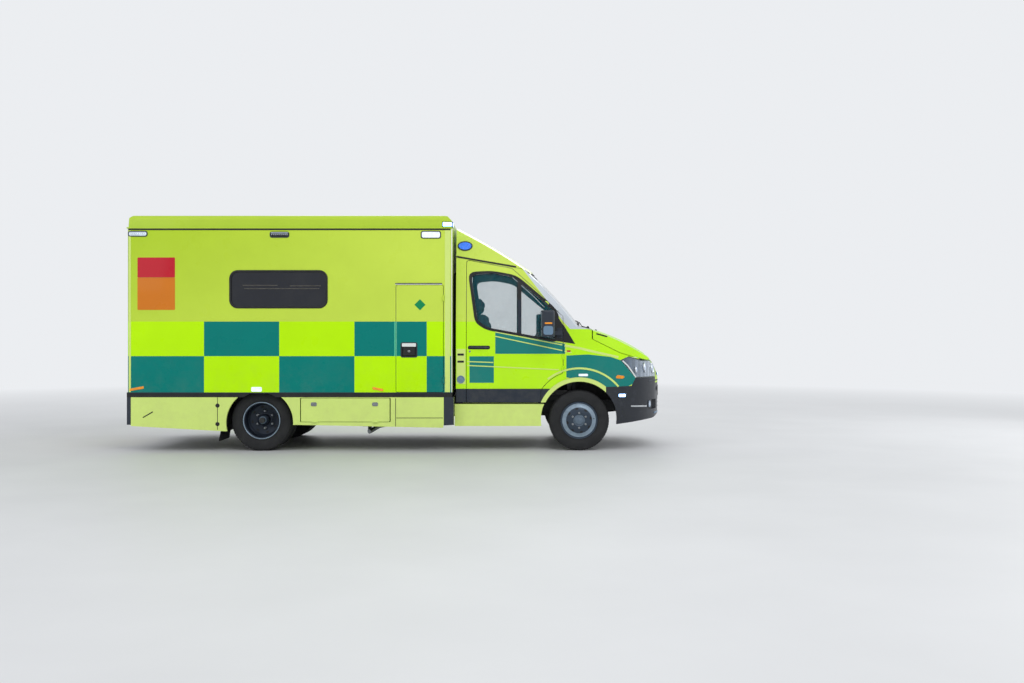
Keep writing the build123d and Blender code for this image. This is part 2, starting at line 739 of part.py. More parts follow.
# Side entry door on the left with its window
entry_frame = 130
entry_window_low = (entry_rear + entry_frame, 1480)
entry_window_high = (entry_front - entry_frame, entry_high_z - 240)
entry_window_corner = 60
with BuildPart() as entry_door:
    add(framed_hole(entry_rear, entry_front, entry_low_z, entry_high_z, box_half_width - leaf_gauge,
                    box_half_width, entry_corner))
    add(framed_hole(entry_window_low[0], entry_window_high[0], entry_window_low[1], entry_window_high[1],
                    cut_in_y, cut_out_y, entry_window_corner), mode=Mode.SUBTRACT)
    add(entry_sleeves)
save(entry_door, "entry_door")
with BuildPart() as entry_glass:
    add(framed_hole(entry_window_low[0] + seat_gap, entry_window_high[0] - seat_gap,
                    entry_window_low[1] + seat_gap,
                    entry_window_high[1] - seat_gap, pane_inner, pane_outer, entry_window_corner - seat_gap))
save(entry_glass, "entry_glass")

# Two rear doors with their windows
leaf_seam = 3
rear_window_half = 210
rear_window_height = 560
rear_window_drop = 550
rear_window_corner = 60
rear_window_z = rear_door_high_z - rear_window_drop
for side_name, side in sides.items():
    centre_y = side * (rear_door_half + leaf_seam) / 2
    leaf_width = rear_door_half - leaf_seam
    with BuildPart() as leaf:
        with BuildSketch(Plane.YZ.offset(box_rear)):
            with Locations((centre_y, (rear_door_low_z + rear_door_high_z) / 2)):
                Rectangle(leaf_width, rear_door_high_z - rear_door_low_z)
            with Locations((centre_y, rear_window_z)):
                RectangleRounded(2 * rear_window_half, rear_window_height, rear_window_corner,
                                 mode=Mode.SUBTRACT)
        extrude(amount=leaf_gauge)
        add(rear_hinges[side_name][0])
    save(leaf, f"rear_door_{side_name}")
    with BuildPart() as leaf_pane:
        with BuildSketch(Plane.YZ.offset(box_rear + pane_inset)):
            with Locations((centre_y, rear_window_z)):
                RectangleRounded(2 * (rear_window_half - seat_gap), rear_window_height - 2 * seat_gap,
                                 rear_window_corner - seat_gap)
        extrude(amount=pane_gauge)
    save(leaf_pane, f"rear_glass_{side_name}")

# Skirts under the box, with the locker tray behind the fold-down flap on the right
skirt_gauge = 30
skirt_outer = box_half_width - 2
skirt_low_z = 309
arch_drop = 20
skirt_arch_radius = 385
skirt_outline = ahead([(-5138, floor_rail_z), (-1440, floor_rail_z), (-1440, skirt_low_z),
                       (-1560, skirt_low_z),
                       (-1564, 275), (-3265, skirt_low_z), (-3600, 260), (-4060, 235), (-5138, 295)])
flap_rear = fx(-3191)
flap_front = fx(-2177)
flap_low_z = 345
flap_high_z = 612
flap_gauge = 24
flap_corner = 10
flap_hinge_inset = 160
tray_wall = 14
tray_inner_y = 740
flap_sleeves, flap_pins = hinge_parts(
    Plane(origin=(0, -skirt_outer - hinge_stand, flap_low_z - door_gap / 2), x_dir=(0, 1, 0),
          z_dir=(1, 0, 0)),
    (flap_rear + flap_hinge_inset, flap_front - flap_hinge_inset), ((-tab_sink, 0), (hinge_stand, tab_reach)),
    ((-tab_sink, -tab_reach), (hinge_stand, 0)), pin_size, knuckle_size)
for side_name, side in sides.items():
    y_low, y_high = span(side, skirt_outer - skirt_gauge, skirt_outer)
    with BuildPart() as skirt:
        add(side_prism(skirt_outline, y_low, y_high))
        add(cross_bar(rear_axle, axle_z - arch_drop, skirt_arch_radius, -cut_out_y, cut_out_y),
            mode=Mode.SUBTRACT)
        if side < 0:
            add(block(flap_rear - door_gap, flap_front + door_gap, -cut_out_y, -cut_in_y,
                      flap_low_z - door_gap,
                      flap_high_z + door_gap), mode=Mode.SUBTRACT)
            add(block(flap_rear - tray_wall - 12, flap_front + tray_wall + 12, y_high, -tray_inner_y,
                      flap_low_z - tray_wall, floor_rail_z))
            add(block(flap_rear - 12, flap_front + 12, -cut_out_y, -tray_inner_y - tray_wall,
                      flap_low_z, flap_high_z), mode=Mode.SUBTRACT)
            add(flap_pins)
    save(skirt, f"skirt_{side_name}")

with BuildPart() as skirt_flap:
    add(framed_hole(flap_rear, flap_front, flap_low_z, flap_high_z, -skirt_outer, flap_gauge - skirt_outer,
                    flap_corner))
    add(flap_sleeves)
save(skirt_flap, "skirt_flap")

# Rear bumper with its step
bumper_gauge = 46
step_half = 860
step_low_z = 420
step_high_z = 462
step_corner = 30
with BuildPart() as rear_bumper:
    add(block(box_rear, box_rear + bumper_gauge, -skirt_outer, skirt_outer, skirt_low_z, floor_rail_z))
    add(block(box_rear - step_reach, box_rear, -step_half, step_half, step_low_z, step_high_z))
    fillet(rear_bumper.edges().filter_by(Axis.Z).group_by(Axis.X)[0], step_corner)
save(rear_bumper, "rear_bumper")

# Sill steps under the cab doors, on brackets from the cab floor
sill_outline = ahead([(-1436, 541), (-392, 541), (-440, 288), (-1436, 288)])
sill_inner_y = 800
sill_outer_y = 985
sill_bracket = 70
with BuildPart() as sill_steps:
    for side in (-1, 1):
        near, far = span(side, sill_inner_y, sill_outer_y)
        add(side_prism(sill_outline, near, far))
        near, far = span(side, sill_inner_y, sill_inner_y + sill_bracket)
        add(block(fx(-1350), fx(-470), near, far, 500, cab_floor_bottom))
    add(front_well(door_gap), mode=Mode.SUBTRACT)
save(sill_steps, "sill_steps")

# Chassis frame: two side members, cross-members, bearers under the box and spring hangers
rail_inner = 380
rail_outer = 450
rail_low_z = 430
rail_high_z = 560
rail_front = fx(760)
bearer_count = 7
bearer_half = 30
bearer_sink = 30
bearer_reach = 720
bearer_reach_at_wheels = 520
bearer_margin = 80
cross_member_half = 30
cross_member_drop = 20
cross_member_stations = (fx(700), fx(-900), rear_axle + 900, rear_axle - 1100)
hanger_station = 700
hanger_half = 40
hanger_reach = 545
hanger_top_z = 520
bearer_pitch = (box_front - box_rear - bearer_margin - 180) / (bearer_count - 1)
with BuildPart() as chassis_frame:
    for side in (-1, 1):
        near, far = span(side, rail_inner, rail_outer)
        add(block(box_rear + bumper_gauge, rail_front, near, far, rail_low_z, rail_high_z))
    for index in range(bearer_count):
        bearer_x = box_front - bearer_margin - index * bearer_pitch
        near_wheels = abs(bearer_x - rear_axle) < wheel_box_reach + 90
        reach = bearer_reach_at_wheels if near_wheels else bearer_reach
        add(block(bearer_x - bearer_half, bearer_x + bearer_half, -reach, reach, rail_high_z - bearer_sink,
                  floor_rail_z))
    for cross_x in cross_member_stations:
        add(block(cross_x - cross_member_half, cross_x + cross_member_half, -rail_inner, rail_inner,
                  rail_low_z + 10, rail_high_z - cross_member_drop))
    for side in (-1, 1):
        near, far = span(side, rail_outer, hanger_reach)
        for hanger_x in (rear_axle - hanger_station, rear_axle + hanger_station):
            add(block(hanger_x - hanger_half, hanger_x + hanger_half, near, far, rail_low_z, hanger_top_z))
save(chassis_frame, "chassis_frame")

# Rear axle with its housing, stub shafts, leaf springs and drive shaft
axle_tube = 52
axle_tube_end = twin_track / 2 - 95
axle_end_y = 960
housing_radius = 120
housing_height = 200
drive_shaft_radius = 45
drive_shaft_z = axle_z + 20
shaft_rear = rear_axle + 60
gearbox_rear = fx(-540)
spring_low_y = 482
spring_high_y = 538
spring_end_z = 480
spring_gauge = 26
spring_half = hanger_station - hanger_half - seat_gap
spring_mid_z = axle_z + axle_tube - 4
with BuildPart() as rear_axle_beam:
    add(cross_bar(rear_axle, axle_z, axle_tube, -axle_tube_end, axle_tube_end))
    add(cross_bar(rear_axle, axle_z, spindle_radius, -axle_end_y, axle_end_y))
    with BuildSketch(Plane.XY.offset(axle_z - housing_radius)):
        with Locations((rear_axle, 0)):
            Circle(housing_radius)
    extrude(amount=housing_height)
    for side in (-1, 1):
        near, far = span(side, spring_low_y, spring_high_y)
        low_rear, low_front = (rear_axle - spring_half, spring_end_z), (rear_axle + spring_half, spring_end_z)
        high_rear, high_front = [(x, z + spring_gauge) for x, z in (low_rear, low_front)]
        with BuildSketch(Plane.XZ.offset(-far)):
            with BuildLine():
                ThreePointArc(low_rear, (rear_axle, spring_mid_z), low_front)
                Line(low_front, high_front)
                ThreePointArc(high_front, (rear_axle, spring_mid_z + spring_gauge + 12), high_rear)
                Line(high_rear, low_rear)
            make_face()
        extrude(amount=far - near)
    with BuildSketch(Plane.YZ.offset(shaft_rear)):
        with Locations((0, drive_shaft_z)):
            Circle(drive_shaft_radius)
    extrude(amount=gearbox_rear - seat_gap - shaft_rear)
save(rear_axle_beam, "rear_axle")

# Front suspension: cross-member, arms, kingpins and the housing of the rack
kingpin_radius = 14
upright_radius = 27
upright_half = 96
upright_low_z = axle_z - upright_half
upright_high_z = axle_z + upright_half
pin_play = 1
arm_low_z = axle_z - 62
arm_high_z = axle_z - 40
arm_end_y = kingpin_y - 95
beam_low_z = 228
beam_high_z = 300
beam_half = 110
tower_half = 90
tower_gauge = 30
wishbone_gauge = 24
wishbone_root_y = 400
wishbone_root_half = 150
upper_arm_gauge = 22
rack_x = fx(-steer_arm)
rack_radius = 11
rack_z = arm_low_z - 6 - rack_radius
rack_tube_radius = 26
rack_tube_half = 300
rack_bracket_half = 260
rack_bracket_rise = 20
tower_inner_y = rail_outer + 2
tower_outer_y = tower_inner_y + tower_gauge
# Columns: low end, gauge, half width and distance out at the root, half width and boss radius at the kingpin
arm_table = ((upright_low_z - pin_play - wishbone_gauge, wishbone_gauge, wishbone_root_half,
              wishbone_root_y, 30, 32),
             (upright_high_z + pin_play, upper_arm_gauge, tower_half, tower_inner_y, 24, 28))
with BuildPart() as front_suspension:
    add(block(fx(-beam_half), fx(beam_half), -rail_inner - 40, rail_inner + 40, beam_low_z, beam_high_z))
    for side in (-1, 1):
        near, far = span(side, rail_inner, tower_outer_y)
        add(block(fx(-tower_half), fx(tower_half), near, far, beam_low_z, beam_high_z))
        near, far = span(side, rail_inner, rail_outer)
        add(block(fx(-tower_half), fx(tower_half), near, far, beam_high_z, rail_low_z))
        near, far = span(side, tower_inner_y, tower_outer_y)
        add(block(fx(-tower_half), fx(tower_half), near, far, beam_high_z - rack_bracket_rise,
                  upright_high_z + pin_play + upper_arm_gauge))
        for low_z, gauge, root_half, root_y, tip_half, boss_radius in arm_table:
            with BuildSketch(Plane.XY.offset(low_z)):
                with BuildLine():
                    Polyline((fx(-root_half), side * root_y), (fx(root_half), side * root_y),
                             (fx(tip_half), side * kingpin_y), (fx(-tip_half), side * kingpin_y), close=True)
                make_face()
                with Locations((fx(0), side * kingpin_y)):
                    Circle(boss_radius)
            extrude(amount=gauge)
        with BuildSketch(Plane.XY.offset(upright_low_z - pin_play)):
            with Locations((fx(0), side * kingpin_y)):
                Circle(kingpin_radius)
        extrude(amount=2 * upright_half + 2 * pin_play)
    add(cross_bar(rack_x, rack_z, rack_tube_radius, -rack_tube_half, rack_tube_half))
    add(block(rack_x - rack_bracket_rise, fx(-beam_half), -rack_bracket_half, rack_bracket_half,
              rack_z - rack_bracket_rise, rack_z + rack_bracket_rise))
    add(cross_bar(rack_x, rack_z, rack_radius + shaft_clearance, -rail_inner, rail_inner), mode=Mode.SUBTRACT)
save(front_suspension, "front_suspension")

# Knuckles: upright on the kingpin, stub axle and steering arm
stub_end_y = front_track / 2 + 118
for side_name, side in sides.items():
    with BuildPart() as knuckle:
        with BuildSketch(Plane.XY.offset(upright_low_z)):
            with Locations((fx(0), side * kingpin_y)):
                Circle(upright_radius)
        extrude(amount=2 * upright_half)
        near, far = span(side, kingpin_y, stub_end_y)
        add(cross_bar(fx(0), axle_z, spindle_radius, near, far))
        with BuildSketch(Plane.XY.offset(arm_low_z)):
            with BuildLine():
                Polyline((fx(0), side * (kingpin_y + 18)), (fx(0), side * (kingpin_y - 20)),
                         (fx(-steer_arm - 12), side * (arm_end_y - 12)),
                         (fx(-steer_arm - 12), side * (arm_end_y + 14)),
                         close=True)
            make_face()
        extrude(amount=arm_high_z - arm_low_z)
        with BuildSketch(Plane.XY.offset(upright_low_z - pin_play)):
            with Locations((fx(0), side * kingpin_y)):
                Circle(kingpin_radius + shaft_clearance)
        extrude(amount=2 * upright_half + 2 * pin_play, mode=Mode.SUBTRACT)
    save(knuckle, f"knuckle_{side_name}")

# Steering rack: a bar that slides in its housing on the cross-member
with BuildPart() as steering_rack:
    add(cross_bar(rack_x, rack_z, rack_radius, -arm_end_y, arm_end_y))
save(steering_rack, "steering_rack")

# Wheels: pressed rims with a bulged disc, a bulged tyre and the rear hub, turned about the axle
# Columns: distance outward from the mid plane of the tyre, radius
bore_radius = spindle_radius + shaft_clearance
rim_edge = rim_half + 14
rim_section = ((rim_edge, flange_radius), (rim_half + 6, flange_radius), (rim_half, bead_radius),
               (-rim_half, bead_radius), (-rim_half - 6, flange_radius), (-rim_edge, flange_radius),
               (-rim_edge, flange_radius - 9), (-rim_half - 4, bead_radius - 9), (60, bead_radius - 9),
               (80, 170), (92, 110), (96, 62), (30, 62), (30, bore_radius), (110, bore_radius), (110, 92),
               (104, 128), (90, 176), (rim_edge - 2, bead_radius + 1))
tyre_half = tyre_width / 2
tyre_wall = ((rim_half - 0.5, bead_radius + seat_gap), (rim_half - 0.5, flange_radius + 1.5),
             (tyre_half - 8.5, flange_radius + 7), (tyre_half, tyre_radius - 80),
             (tyre_half - 4.5, tyre_radius - 30),
             (tyre_half - 22.5, tyre_radius - 4), (tyre_half - 42.5, tyre_radius))
tyre_section = [(-y, r) for y, r in tyre_wall] + [(y, r) for y, r in reversed(tyre_wall)]
hub_section = ((-60, bore_radius), (-60, 84), (20, 84), (24, 66), (128, 62), (150, 40), (150, bore_radius))


def turned(section, x, mid_y, outward):
    """Ring turned about an axle line, its section given outward from a mid plane."""
    with BuildPart() as ring:
        with BuildSketch(Plane(origin=(x, mid_y, axle_z), x_dir=(0, outward, 0), z_dir=(outward, 0, 0))):
            with BuildLine():
                Polyline(section, close=True)
            make_face()
        revolve(axis=Axis((x, mid_y, axle_z), (0, 1, 0)))
    return ring.part


for side_name, side in sides.items():
    with BuildPart() as front_rim:
        add(turned(rim_section, fx(0), side * front_track / 2, side))
    save(front_rim, f"front_rim_{side_name}")
    with BuildPart() as front_tyre:
        add(turned(tyre_section, fx(0), side * front_track / 2, side))
    save(front_tyre, f"front_tyre_{side_name}")
    outer_y = side * (twin_track + twin_spacing) / 2
    inner_y = side * (twin_track - twin_spacing) / 2
    with BuildPart() as rear_rims:
        add(turned(rim_section, rear_axle, outer_y, -side))
        add(turned(rim_section, rear_axle, inner_y, side))
        add(turned(hub_section, rear_axle, side * twin_track / 2, side))
    save(rear_rims, f"rear_rims_{side_name}")
    with BuildPart() as rear_tyres:
        add(turned(tyre_section, rear_axle, outer_y, side))
        add(turned(tyre_section, rear_axle, inner_y, side))
    save(rear_tyres, f"rear_tyres_{side_name}")

# Door mirrors: a housing on an arm, its foot on the window frame
mirror_rear = fx(-450)
mirror_front = fx(-290)
mirror_low_z = 1318
mirror_high_z = 1618
mirror_inner_y = cab_half_width + 44
mirror_outer_y = cab_half_width + 219
mirror_round = 50
mirror_top_round = 24
mirror_root_y = 930
# Columns: rear and front station, outer end, low and high edge
mirror_arm_table = ((fx(-310), fx(-200), mirror_inner_y + 40, 1335, 1385),
                    (fx(-258), fx(-198), 1000, 1300, 1420))
for side_name, side in sides.items():
    with BuildPart() as mirror:
        near, far = span(side, mirror_inner_y, mirror_outer_y)
        add(block(mirror_rear, mirror_front, near, far, mirror_low_z, mirror_high_z))
        fillet(mirror.edges().filter_by(Axis.Z), mirror_round)
        fillet(mirror.edges().group_by(Axis.Z)[-1], mirror_top_round)
        for x_low, x_high, reach, z_low, z_high in mirror_arm_table:
            near, far = span(side, mirror_root_y, reach)
            add(block(x_low, x_high, near, far, z_low, z_high))
        add(cab_outer, mode=Mode.SUBTRACT)
    save(mirror, f"door_mirror_{side_name}")

# Engine with its gearbox, on a bearer between the side members
engine_rear = fx(-10)
# Columns: rear and front station, half width, low and high end
engine_table = ((engine_rear, fx(660), 270, 460, 1010), (fx(300), fx(360), rail_inner, 470, 520),
                (gearbox_rear, engine_rear, 140, 345, 552))
with BuildPart() as engine_block:
    for x_low, x_high, half, z_low, z_high in engine_table:
        add(block(x_low, x_high, -half, half, z_low, z_high))
save(engine_block, "engine_block")

# Exhaust: pipe and silencer on a hanger from the right side member
exhaust_y = -250
exhaust_z = 400
pipe_radius = 34
pipe_rear = fx(-1900)
pipe_length = 1300
silencer_rear = fx(-2700)
silencer_length = 800
silencer_width = 200
silencer_height = 150
silencer_corner = 60
with BuildPart() as exhaust:
    with BuildSketch(Plane.YZ.offset(pipe_rear)):
        with Locations((exhaust_y, exhaust_z)):
            Circle(pipe_radius)
    extrude(amount=pipe_length)
    with BuildSketch(Plane.YZ.offset(silencer_rear)):
        with Locations((exhaust_y, exhaust_z)):
            RectangleRounded(silencer_width, silencer_height, silencer_corner)
    extrude(amount=silencer_length)
    add(block(fx(-2320), fx(-2280), -rail_inner, exhaust_y - 50, rail_low_z + 5, rail_low_z + 25))
save(exhaust, "exhaust")

# Fuel tank on the left, hung from the bearers
tank_rear = fx(-2500)
tank_front = fx(-1600)
tank_inner_y = rail_outer + 20
tank_outer_y = 900
tank_low_z = 285
tank_low_round = 60
tank_high_round = 30
with BuildPart() as fuel_tank:
    add(block(tank_rear, tank_front, tank_inner_y, tank_outer_y, tank_low_z, rail_high_z - bearer_sink))
    fillet(fuel_tank.edges().filter_by(Axis.X).group_by(Axis.Z)[0], tank_low_round)
    fillet(fuel_tank.edges().filter_by(Axis.X).group_by(Axis.Z)[-1], tank_high_round)
save(fuel_tank, "fuel_tank")

# Mud flaps behind the rear wheels
flap_station = rear_axle - 440
mud_flap_gauge = 10
mud_flap_low_z = 215
mud_flap_setback = 75
mud_flap_width = 440
mud_flap_outer = box_half_width - mud_flap_setback
with BuildPart() as mud_flaps:
    for side in (-1, 1):
        near, far = span(side, mud_flap_outer - mud_flap_width, mud_flap_outer)
        add(block(flap_station, flap_station + mud_flap_gauge, near, far, mud_flap_low_z, floor_rail_z))
save(mud_flaps, "mud_flaps")

# Lamps on the sides: flash lamps and markers on the walls, ovals on the fairing, lamps on the roof's corners
side_lamp_depth = 5
side_lamp_corner = 16
fairing_lamp_place = (fx(-1322), 2372)
fairing_lamp_half_length = 88
fairing_lamp_half_height = 57
corner_lamp_rear = fx(-1575)
corner_lamp_rise = 6
# Columns: rear and front edge from the front axle, low and high edge
side_lamp_table = ((-5170, -4945, gutter_z - 94, gutter_z - 28),
                   (-3548, -3324, gutter_z - 106, gutter_z - 36),
                   (-1820, -1588, gutter_z - 116, gutter_z - 28),
                   (-5150, -4990, floor_top_z + 16, floor_top_z + 60),
                   (-2370, -2250, floor_top_z + 16, floor_top_z + 60))
with BuildPart() as oval_bar:
    with BuildSketch(Plane.XZ.offset(-cab_reach)):
        with Locations(fairing_lamp_place):
            Ellipse(fairing_lamp_half_length, fairing_lamp_half_height)
    extrude(amount=2 * cab_reach)
fairing_lamps = (cab_raised & oval_bar.part) - cab_outer
corner_lamps = block(corner_lamp_rear, box_front + corner_lamp_rise, -cap_half - corner_lamp_rise,
                     cap_half + corner_lamp_rise, gutter_z + gutter_height + 4, roof_z - 74) - box_roof.part
corner_lamps = corner_lamps - block(box_rear, nose, -cap_half + 120, cap_half - 120, gutter_z, roof_z)
with BuildPart() as side_lamps:
    for x_low, x_high, z_low, z_high in side_lamp_table:
        for side in (-1, 1):
            near, far = span(side, box_half_width, box_half_width + side_lamp_depth)
            add(framed_hole(fx(x_low), fx(x_high), z_low, z_high, near, far, side_lamp_corner))
    add(fairing_lamps)
    add(corner_lamps)
save(side_lamps, "side_lamps")

# Tail lamps: three round lamps in a column on each side
tail_lamp_depth = 8
tail_lamp_radius = 52
tail_lamp_y = 890
tail_lamp_heights = (860, 1000, 1140)
with BuildPart() as tail_lamps:
    for side in (-1, 1):
        with BuildSketch(Plane.YZ.offset(box_rear - tail_lamp_depth)):
            with Locations([(side * tail_lamp_y, height) for height in tail_lamp_heights]):
                Circle(tail_lamp_radius)
        extrude(amount=tail_lamp_depth)
save(tail_lamps, "tail_lamps")
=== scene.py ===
import math
import bpy
import bmesh
from mathutils import Matrix, Vector
from mathutils.bvhtree import BVHTree


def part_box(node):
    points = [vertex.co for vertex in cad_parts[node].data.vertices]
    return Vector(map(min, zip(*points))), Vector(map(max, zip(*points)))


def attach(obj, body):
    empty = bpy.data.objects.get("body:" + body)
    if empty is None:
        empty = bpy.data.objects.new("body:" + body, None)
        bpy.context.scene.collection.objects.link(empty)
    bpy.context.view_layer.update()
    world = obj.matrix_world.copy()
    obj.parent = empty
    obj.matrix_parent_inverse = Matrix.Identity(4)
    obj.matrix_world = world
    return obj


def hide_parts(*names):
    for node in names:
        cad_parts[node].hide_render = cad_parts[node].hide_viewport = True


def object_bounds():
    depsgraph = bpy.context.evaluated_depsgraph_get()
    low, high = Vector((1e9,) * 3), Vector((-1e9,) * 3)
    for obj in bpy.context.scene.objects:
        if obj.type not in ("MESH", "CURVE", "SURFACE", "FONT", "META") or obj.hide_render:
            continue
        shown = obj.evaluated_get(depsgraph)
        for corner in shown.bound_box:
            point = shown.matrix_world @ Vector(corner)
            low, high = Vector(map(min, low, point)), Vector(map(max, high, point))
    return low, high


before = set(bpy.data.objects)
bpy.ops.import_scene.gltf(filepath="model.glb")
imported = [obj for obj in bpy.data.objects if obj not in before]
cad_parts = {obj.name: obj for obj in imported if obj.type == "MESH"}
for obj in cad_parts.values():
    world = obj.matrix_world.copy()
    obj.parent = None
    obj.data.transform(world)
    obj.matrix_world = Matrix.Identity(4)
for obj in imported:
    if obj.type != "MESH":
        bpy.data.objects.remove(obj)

cad_low, cad_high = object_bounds()

# Stations and sizes, read from the frame, in metres
SIDES = {"right": -1, "left": 1}


def middle(node):
    """Centre of a node's box."""
    low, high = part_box(node)
    return (Vector(low) + Vector(high)) / 2


front_axle = middle("front_tyre_right").x
axle_z = middle("front_tyre_right").z
rear_axle = middle("rear_tyres_right").x
(box_rear, _, rail_low), (box_front, box_half, _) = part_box("box_floor")
floor_top, gutter = (corner[2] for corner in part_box("box_wall_right"))
roof_top = cad_high.z
arch_z = axle_z + 0.014
squares_top = 1.491


def fx(distance):
    """Station at a distance ahead of the front axle."""
    return front_axle + distance


def ahead(points):
    """Side view points given from the front axle, as points of the whole vehicle."""
    return [(fx(x), z) for x, z in points]


def rectangle(x_low, x_high, z_low, z_high):
    return [(x_low, z_low), (x_high, z_low), (x_high, z_high), (x_low, z_high)]


def across(side, inner, outer):
    """Two distances out from the middle as places on a side, the lower one first."""
    return sorted((side * inner, side * outer))


# Colours, written as screen values from 0 to 255
def shade(red, green, blue):
    """Screen colour as linear light, with full cover."""
    def linear(value):
        value /= 255
        return value / 12.92 if value <= 0.04045 else ((value + 0.055) / 1.055) ** 2.4
    return (linear(red), linear(green), linear(blue), 1.0)


def tinted(colour, share, lift=0.0):
    """The colour times a share, with a little light added."""
    return tuple(min(1.0, value * share + lift) for value in colour[:3]) + (1.0,)


BLACK = (0, 0, 0, 1)
LIME = shade(204, 229, 84)
PALE_LIME = shade(214, 236, 130)
NOSE_LIME = shade(200, 236, 62)
# Lime deepened as painted shade on the box's upper panels, towards rear and roof
SHADED_LIME = shade(172, 206, 18)
ROOF_LIME = shade(182, 212, 60)
FLUOR = shade(192, 250, 2)
GREEN = shade(0, 126, 118)
FILM_EDGE = shade(96, 200, 160)
SIGNAL_RED = shade(196, 24, 44)
ORANGE = shade(214, 122, 28)
OFF_WHITE = shade(226, 230, 228)
# Pale grey painted on the windscreen pillar as a painted reflection of the sky
PILLAR_REFLECTION = shade(206, 214, 222)
TRIM_DARK = shade(32, 41, 54)
BUMPER_DARK = shade(22, 28, 38)
BUMPER_SCUFF = shade(52, 58, 68)
CAB_LINING = shade(52, 56, 62)
PRINTED_BLACK = shade(10, 12, 14)
DUST = shade(150, 142, 122)


class Value:
    """Output of a shader node. What is worked out from it becomes further nodes."""

    def __init__(self, tree, socket):
        self.tree, self.socket = tree, socket

    def __add__(self, other):
        return self.tree.math("ADD", self, other)

    def __sub__(self, other):
        return self.tree.math("SUBTRACT", self, other)

    def __mul__(self, other):
        return self.tree.math("MULTIPLY", self, other)

    def __truediv__(self, other):
        return self.tree.math("DIVIDE", self, other)

    def __gt__(self, other):
        return self.tree.math("GREATER_THAN", self, other)

    def __lt__(self, other):
        return self.tree.math("LESS_THAN", self, other)

    def __or__(self, other):
        return self.tree.math("MAXIMUM", self, other)

    def __abs__(self):
        return self.tree.math("ABSOLUTE", self)

    def spread(self, low, high, out_low=0.0, out_high=1.0):
        """The range from low to high, stretched to another one and held at its ends."""
        limits = {"From Min": low, "From Max": high, "To Min": out_low, "To Max": out_high}
        return self.tree.node("MapRange", {"Value": self, **limits}, "Result")


class Tree:
    """Shader nodes of one new material, with its Principled shader."""

    def __init__(self, name):
        self.material = bpy.data.materials.new(name)
        self.material.use_nodes = True
        self.nodes = self.material.node_tree.nodes
        self.links = self.material.node_tree.links
        self.shader = self.nodes["Principled BSDF"]
        self.place = self.node("TexCoord", {}, "Object")
        self.facing = self.node("TexCoord", {}, "Normal")
        self.x, self.y, self.z = (self.axis(self.place, letter) for letter in "XYZ")

    def put(self, socket, value):
        if isinstance(value, Value):
            self.links.new(value.socket, socket)
        else:
            socket.default_value = value

    def node(self, kind, inputs, output=0, **settings):
        """Output of a new node. Inputs go by name or number, and may be values."""
        made = self.nodes.new("ShaderNode" + kind)
        for name, setting in settings.items():
            setattr(made, name, setting)
        for key, value in inputs.items():
            self.put(made.inputs[key], value)
        return Value(self, made.outputs[output])

    def math(self, operation, *values):
        return self.node("Math", dict(enumerate(values)), operation=operation)

    def axis(self, vector, letter):
        return self.node("SeparateXYZ", {0: vector}, letter)

    def noise(self, scale, detail=3.0, roughness=0.55):
        inputs = {"Vector": self.place, "Scale": scale, "Detail": detail, "Roughness": roughness}
        return self.node("TexNoise", inputs, "Fac")

    def cloud(self, scale, detail=3.0, low=0.0, high=1.0, roughness=0.55):
        """Noise stretched over the range from low to high."""
        return self.noise(scale, detail, roughness).spread(0.3, 0.7, low, high)

    def scuffs(self):
        return self.noise(11.0, 6.0, 0.72).spread(0.55, 0.85)

    def blotches(self):
        return self.noise(14.0, 5.0, 0.65).spread(0.45, 0.8)

    def mix(self, factor, first, second):
        return self.node("Mix", {"Factor": factor, 6: first, 7: second}, 2, data_type="RGBA")

    def bump(self, height, strength, distance):
        inputs = {"Strength": strength, "Distance": distance, "Height": height}
        self.set(Normal=self.node("Bump", inputs))

    def set(self, **sockets):
        for name, value in sockets.items():
            self.put(self.shader.inputs[name.replace("_", " ")], value)

    def distance(self, first, second):
        return self.math("SQRT", first * first + second * second)

    def inside(self, outline):
        """1 inside a convex outline of the side view, 0 outside it."""
        edges = list(zip(outline, outline[1:] + outline[:1]))
        turn = math.copysign(1, sum(a[0] * b[1] - b[0] * a[1] for a, b in edges))
        nearest = None
        for (x_a, z_a), (x_b, z_b) in edges:
            inwards = Vector((z_a - z_b, 0, x_b - x_a)).normalized() * turn
            along = self.node("VectorMath", {0: self.place, 1: inwards}, "Value",
                              operation="DOT_PRODUCT")
            reach = along - (inwards.x * x_a + inwards.z * z_a)
            nearest = self.math("MINIMUM", nearest, reach) if nearest else reach
        return nearest > 0.0


def worn_colour(tree, colour):
    """The colour with soft cloudy changes and road dust low down."""
    cloudy = tree.mix(tree.cloud(2.3, 4.0, 0.0, 0.06), colour, BLACK)
    dust = tree.z.spread(1.25, 0.25) * tree.noise(7.0, 6.0, 0.7).spread(0.42, 0.75)
    return tree.mix(dust * 0.16, cloudy, DUST)


def paint(name, base, zones=(), lining=None, lining_colour=OFF_WHITE, extra=None, gloss=0.2):
    """Paint with film squares. A zone is a colour and a convex outline of the side view."""
    tree = Tree(name)
    colour = base
    for zone_colour, outline in zones:
        colour = tree.mix(tree.inside(outline), colour, zone_colour)
    if extra:
        colour = extra(tree, colour)
    colour = worn_colour(tree, colour)
    if lining:
        colour = tree.mix(lining(tree), colour, lining_colour)
    tree.set(Base_Color=colour, Roughness=tree.cloud(5.0, 4.0, 0.25, 0.38),
             Coat_Weight=gloss, Coat_Roughness=0.05, IOR=1.45,
             Specular_IOR_Level=0.1 + gloss / 2)
    tree.bump(tree.noise(90.0, 2.0), 0.04, 0.0003)
    return tree.material


def plastic(name, colour, roughness=0.5, grain=900.0, depth=0.12):
    """Moulded plastic with a fine grain and pale scuffs."""
    tree = Tree(name)
    tree.set(Base_Color=tree.mix(tree.scuffs(), colour, tinted(colour, 1.5, 0.012)),
             Roughness=tree.cloud(9.0, 4.0, roughness - 0.07, roughness + 0.09))
    tree.bump(tree.noise(grain, 2.0), depth, 0.0005)
    return tree.material


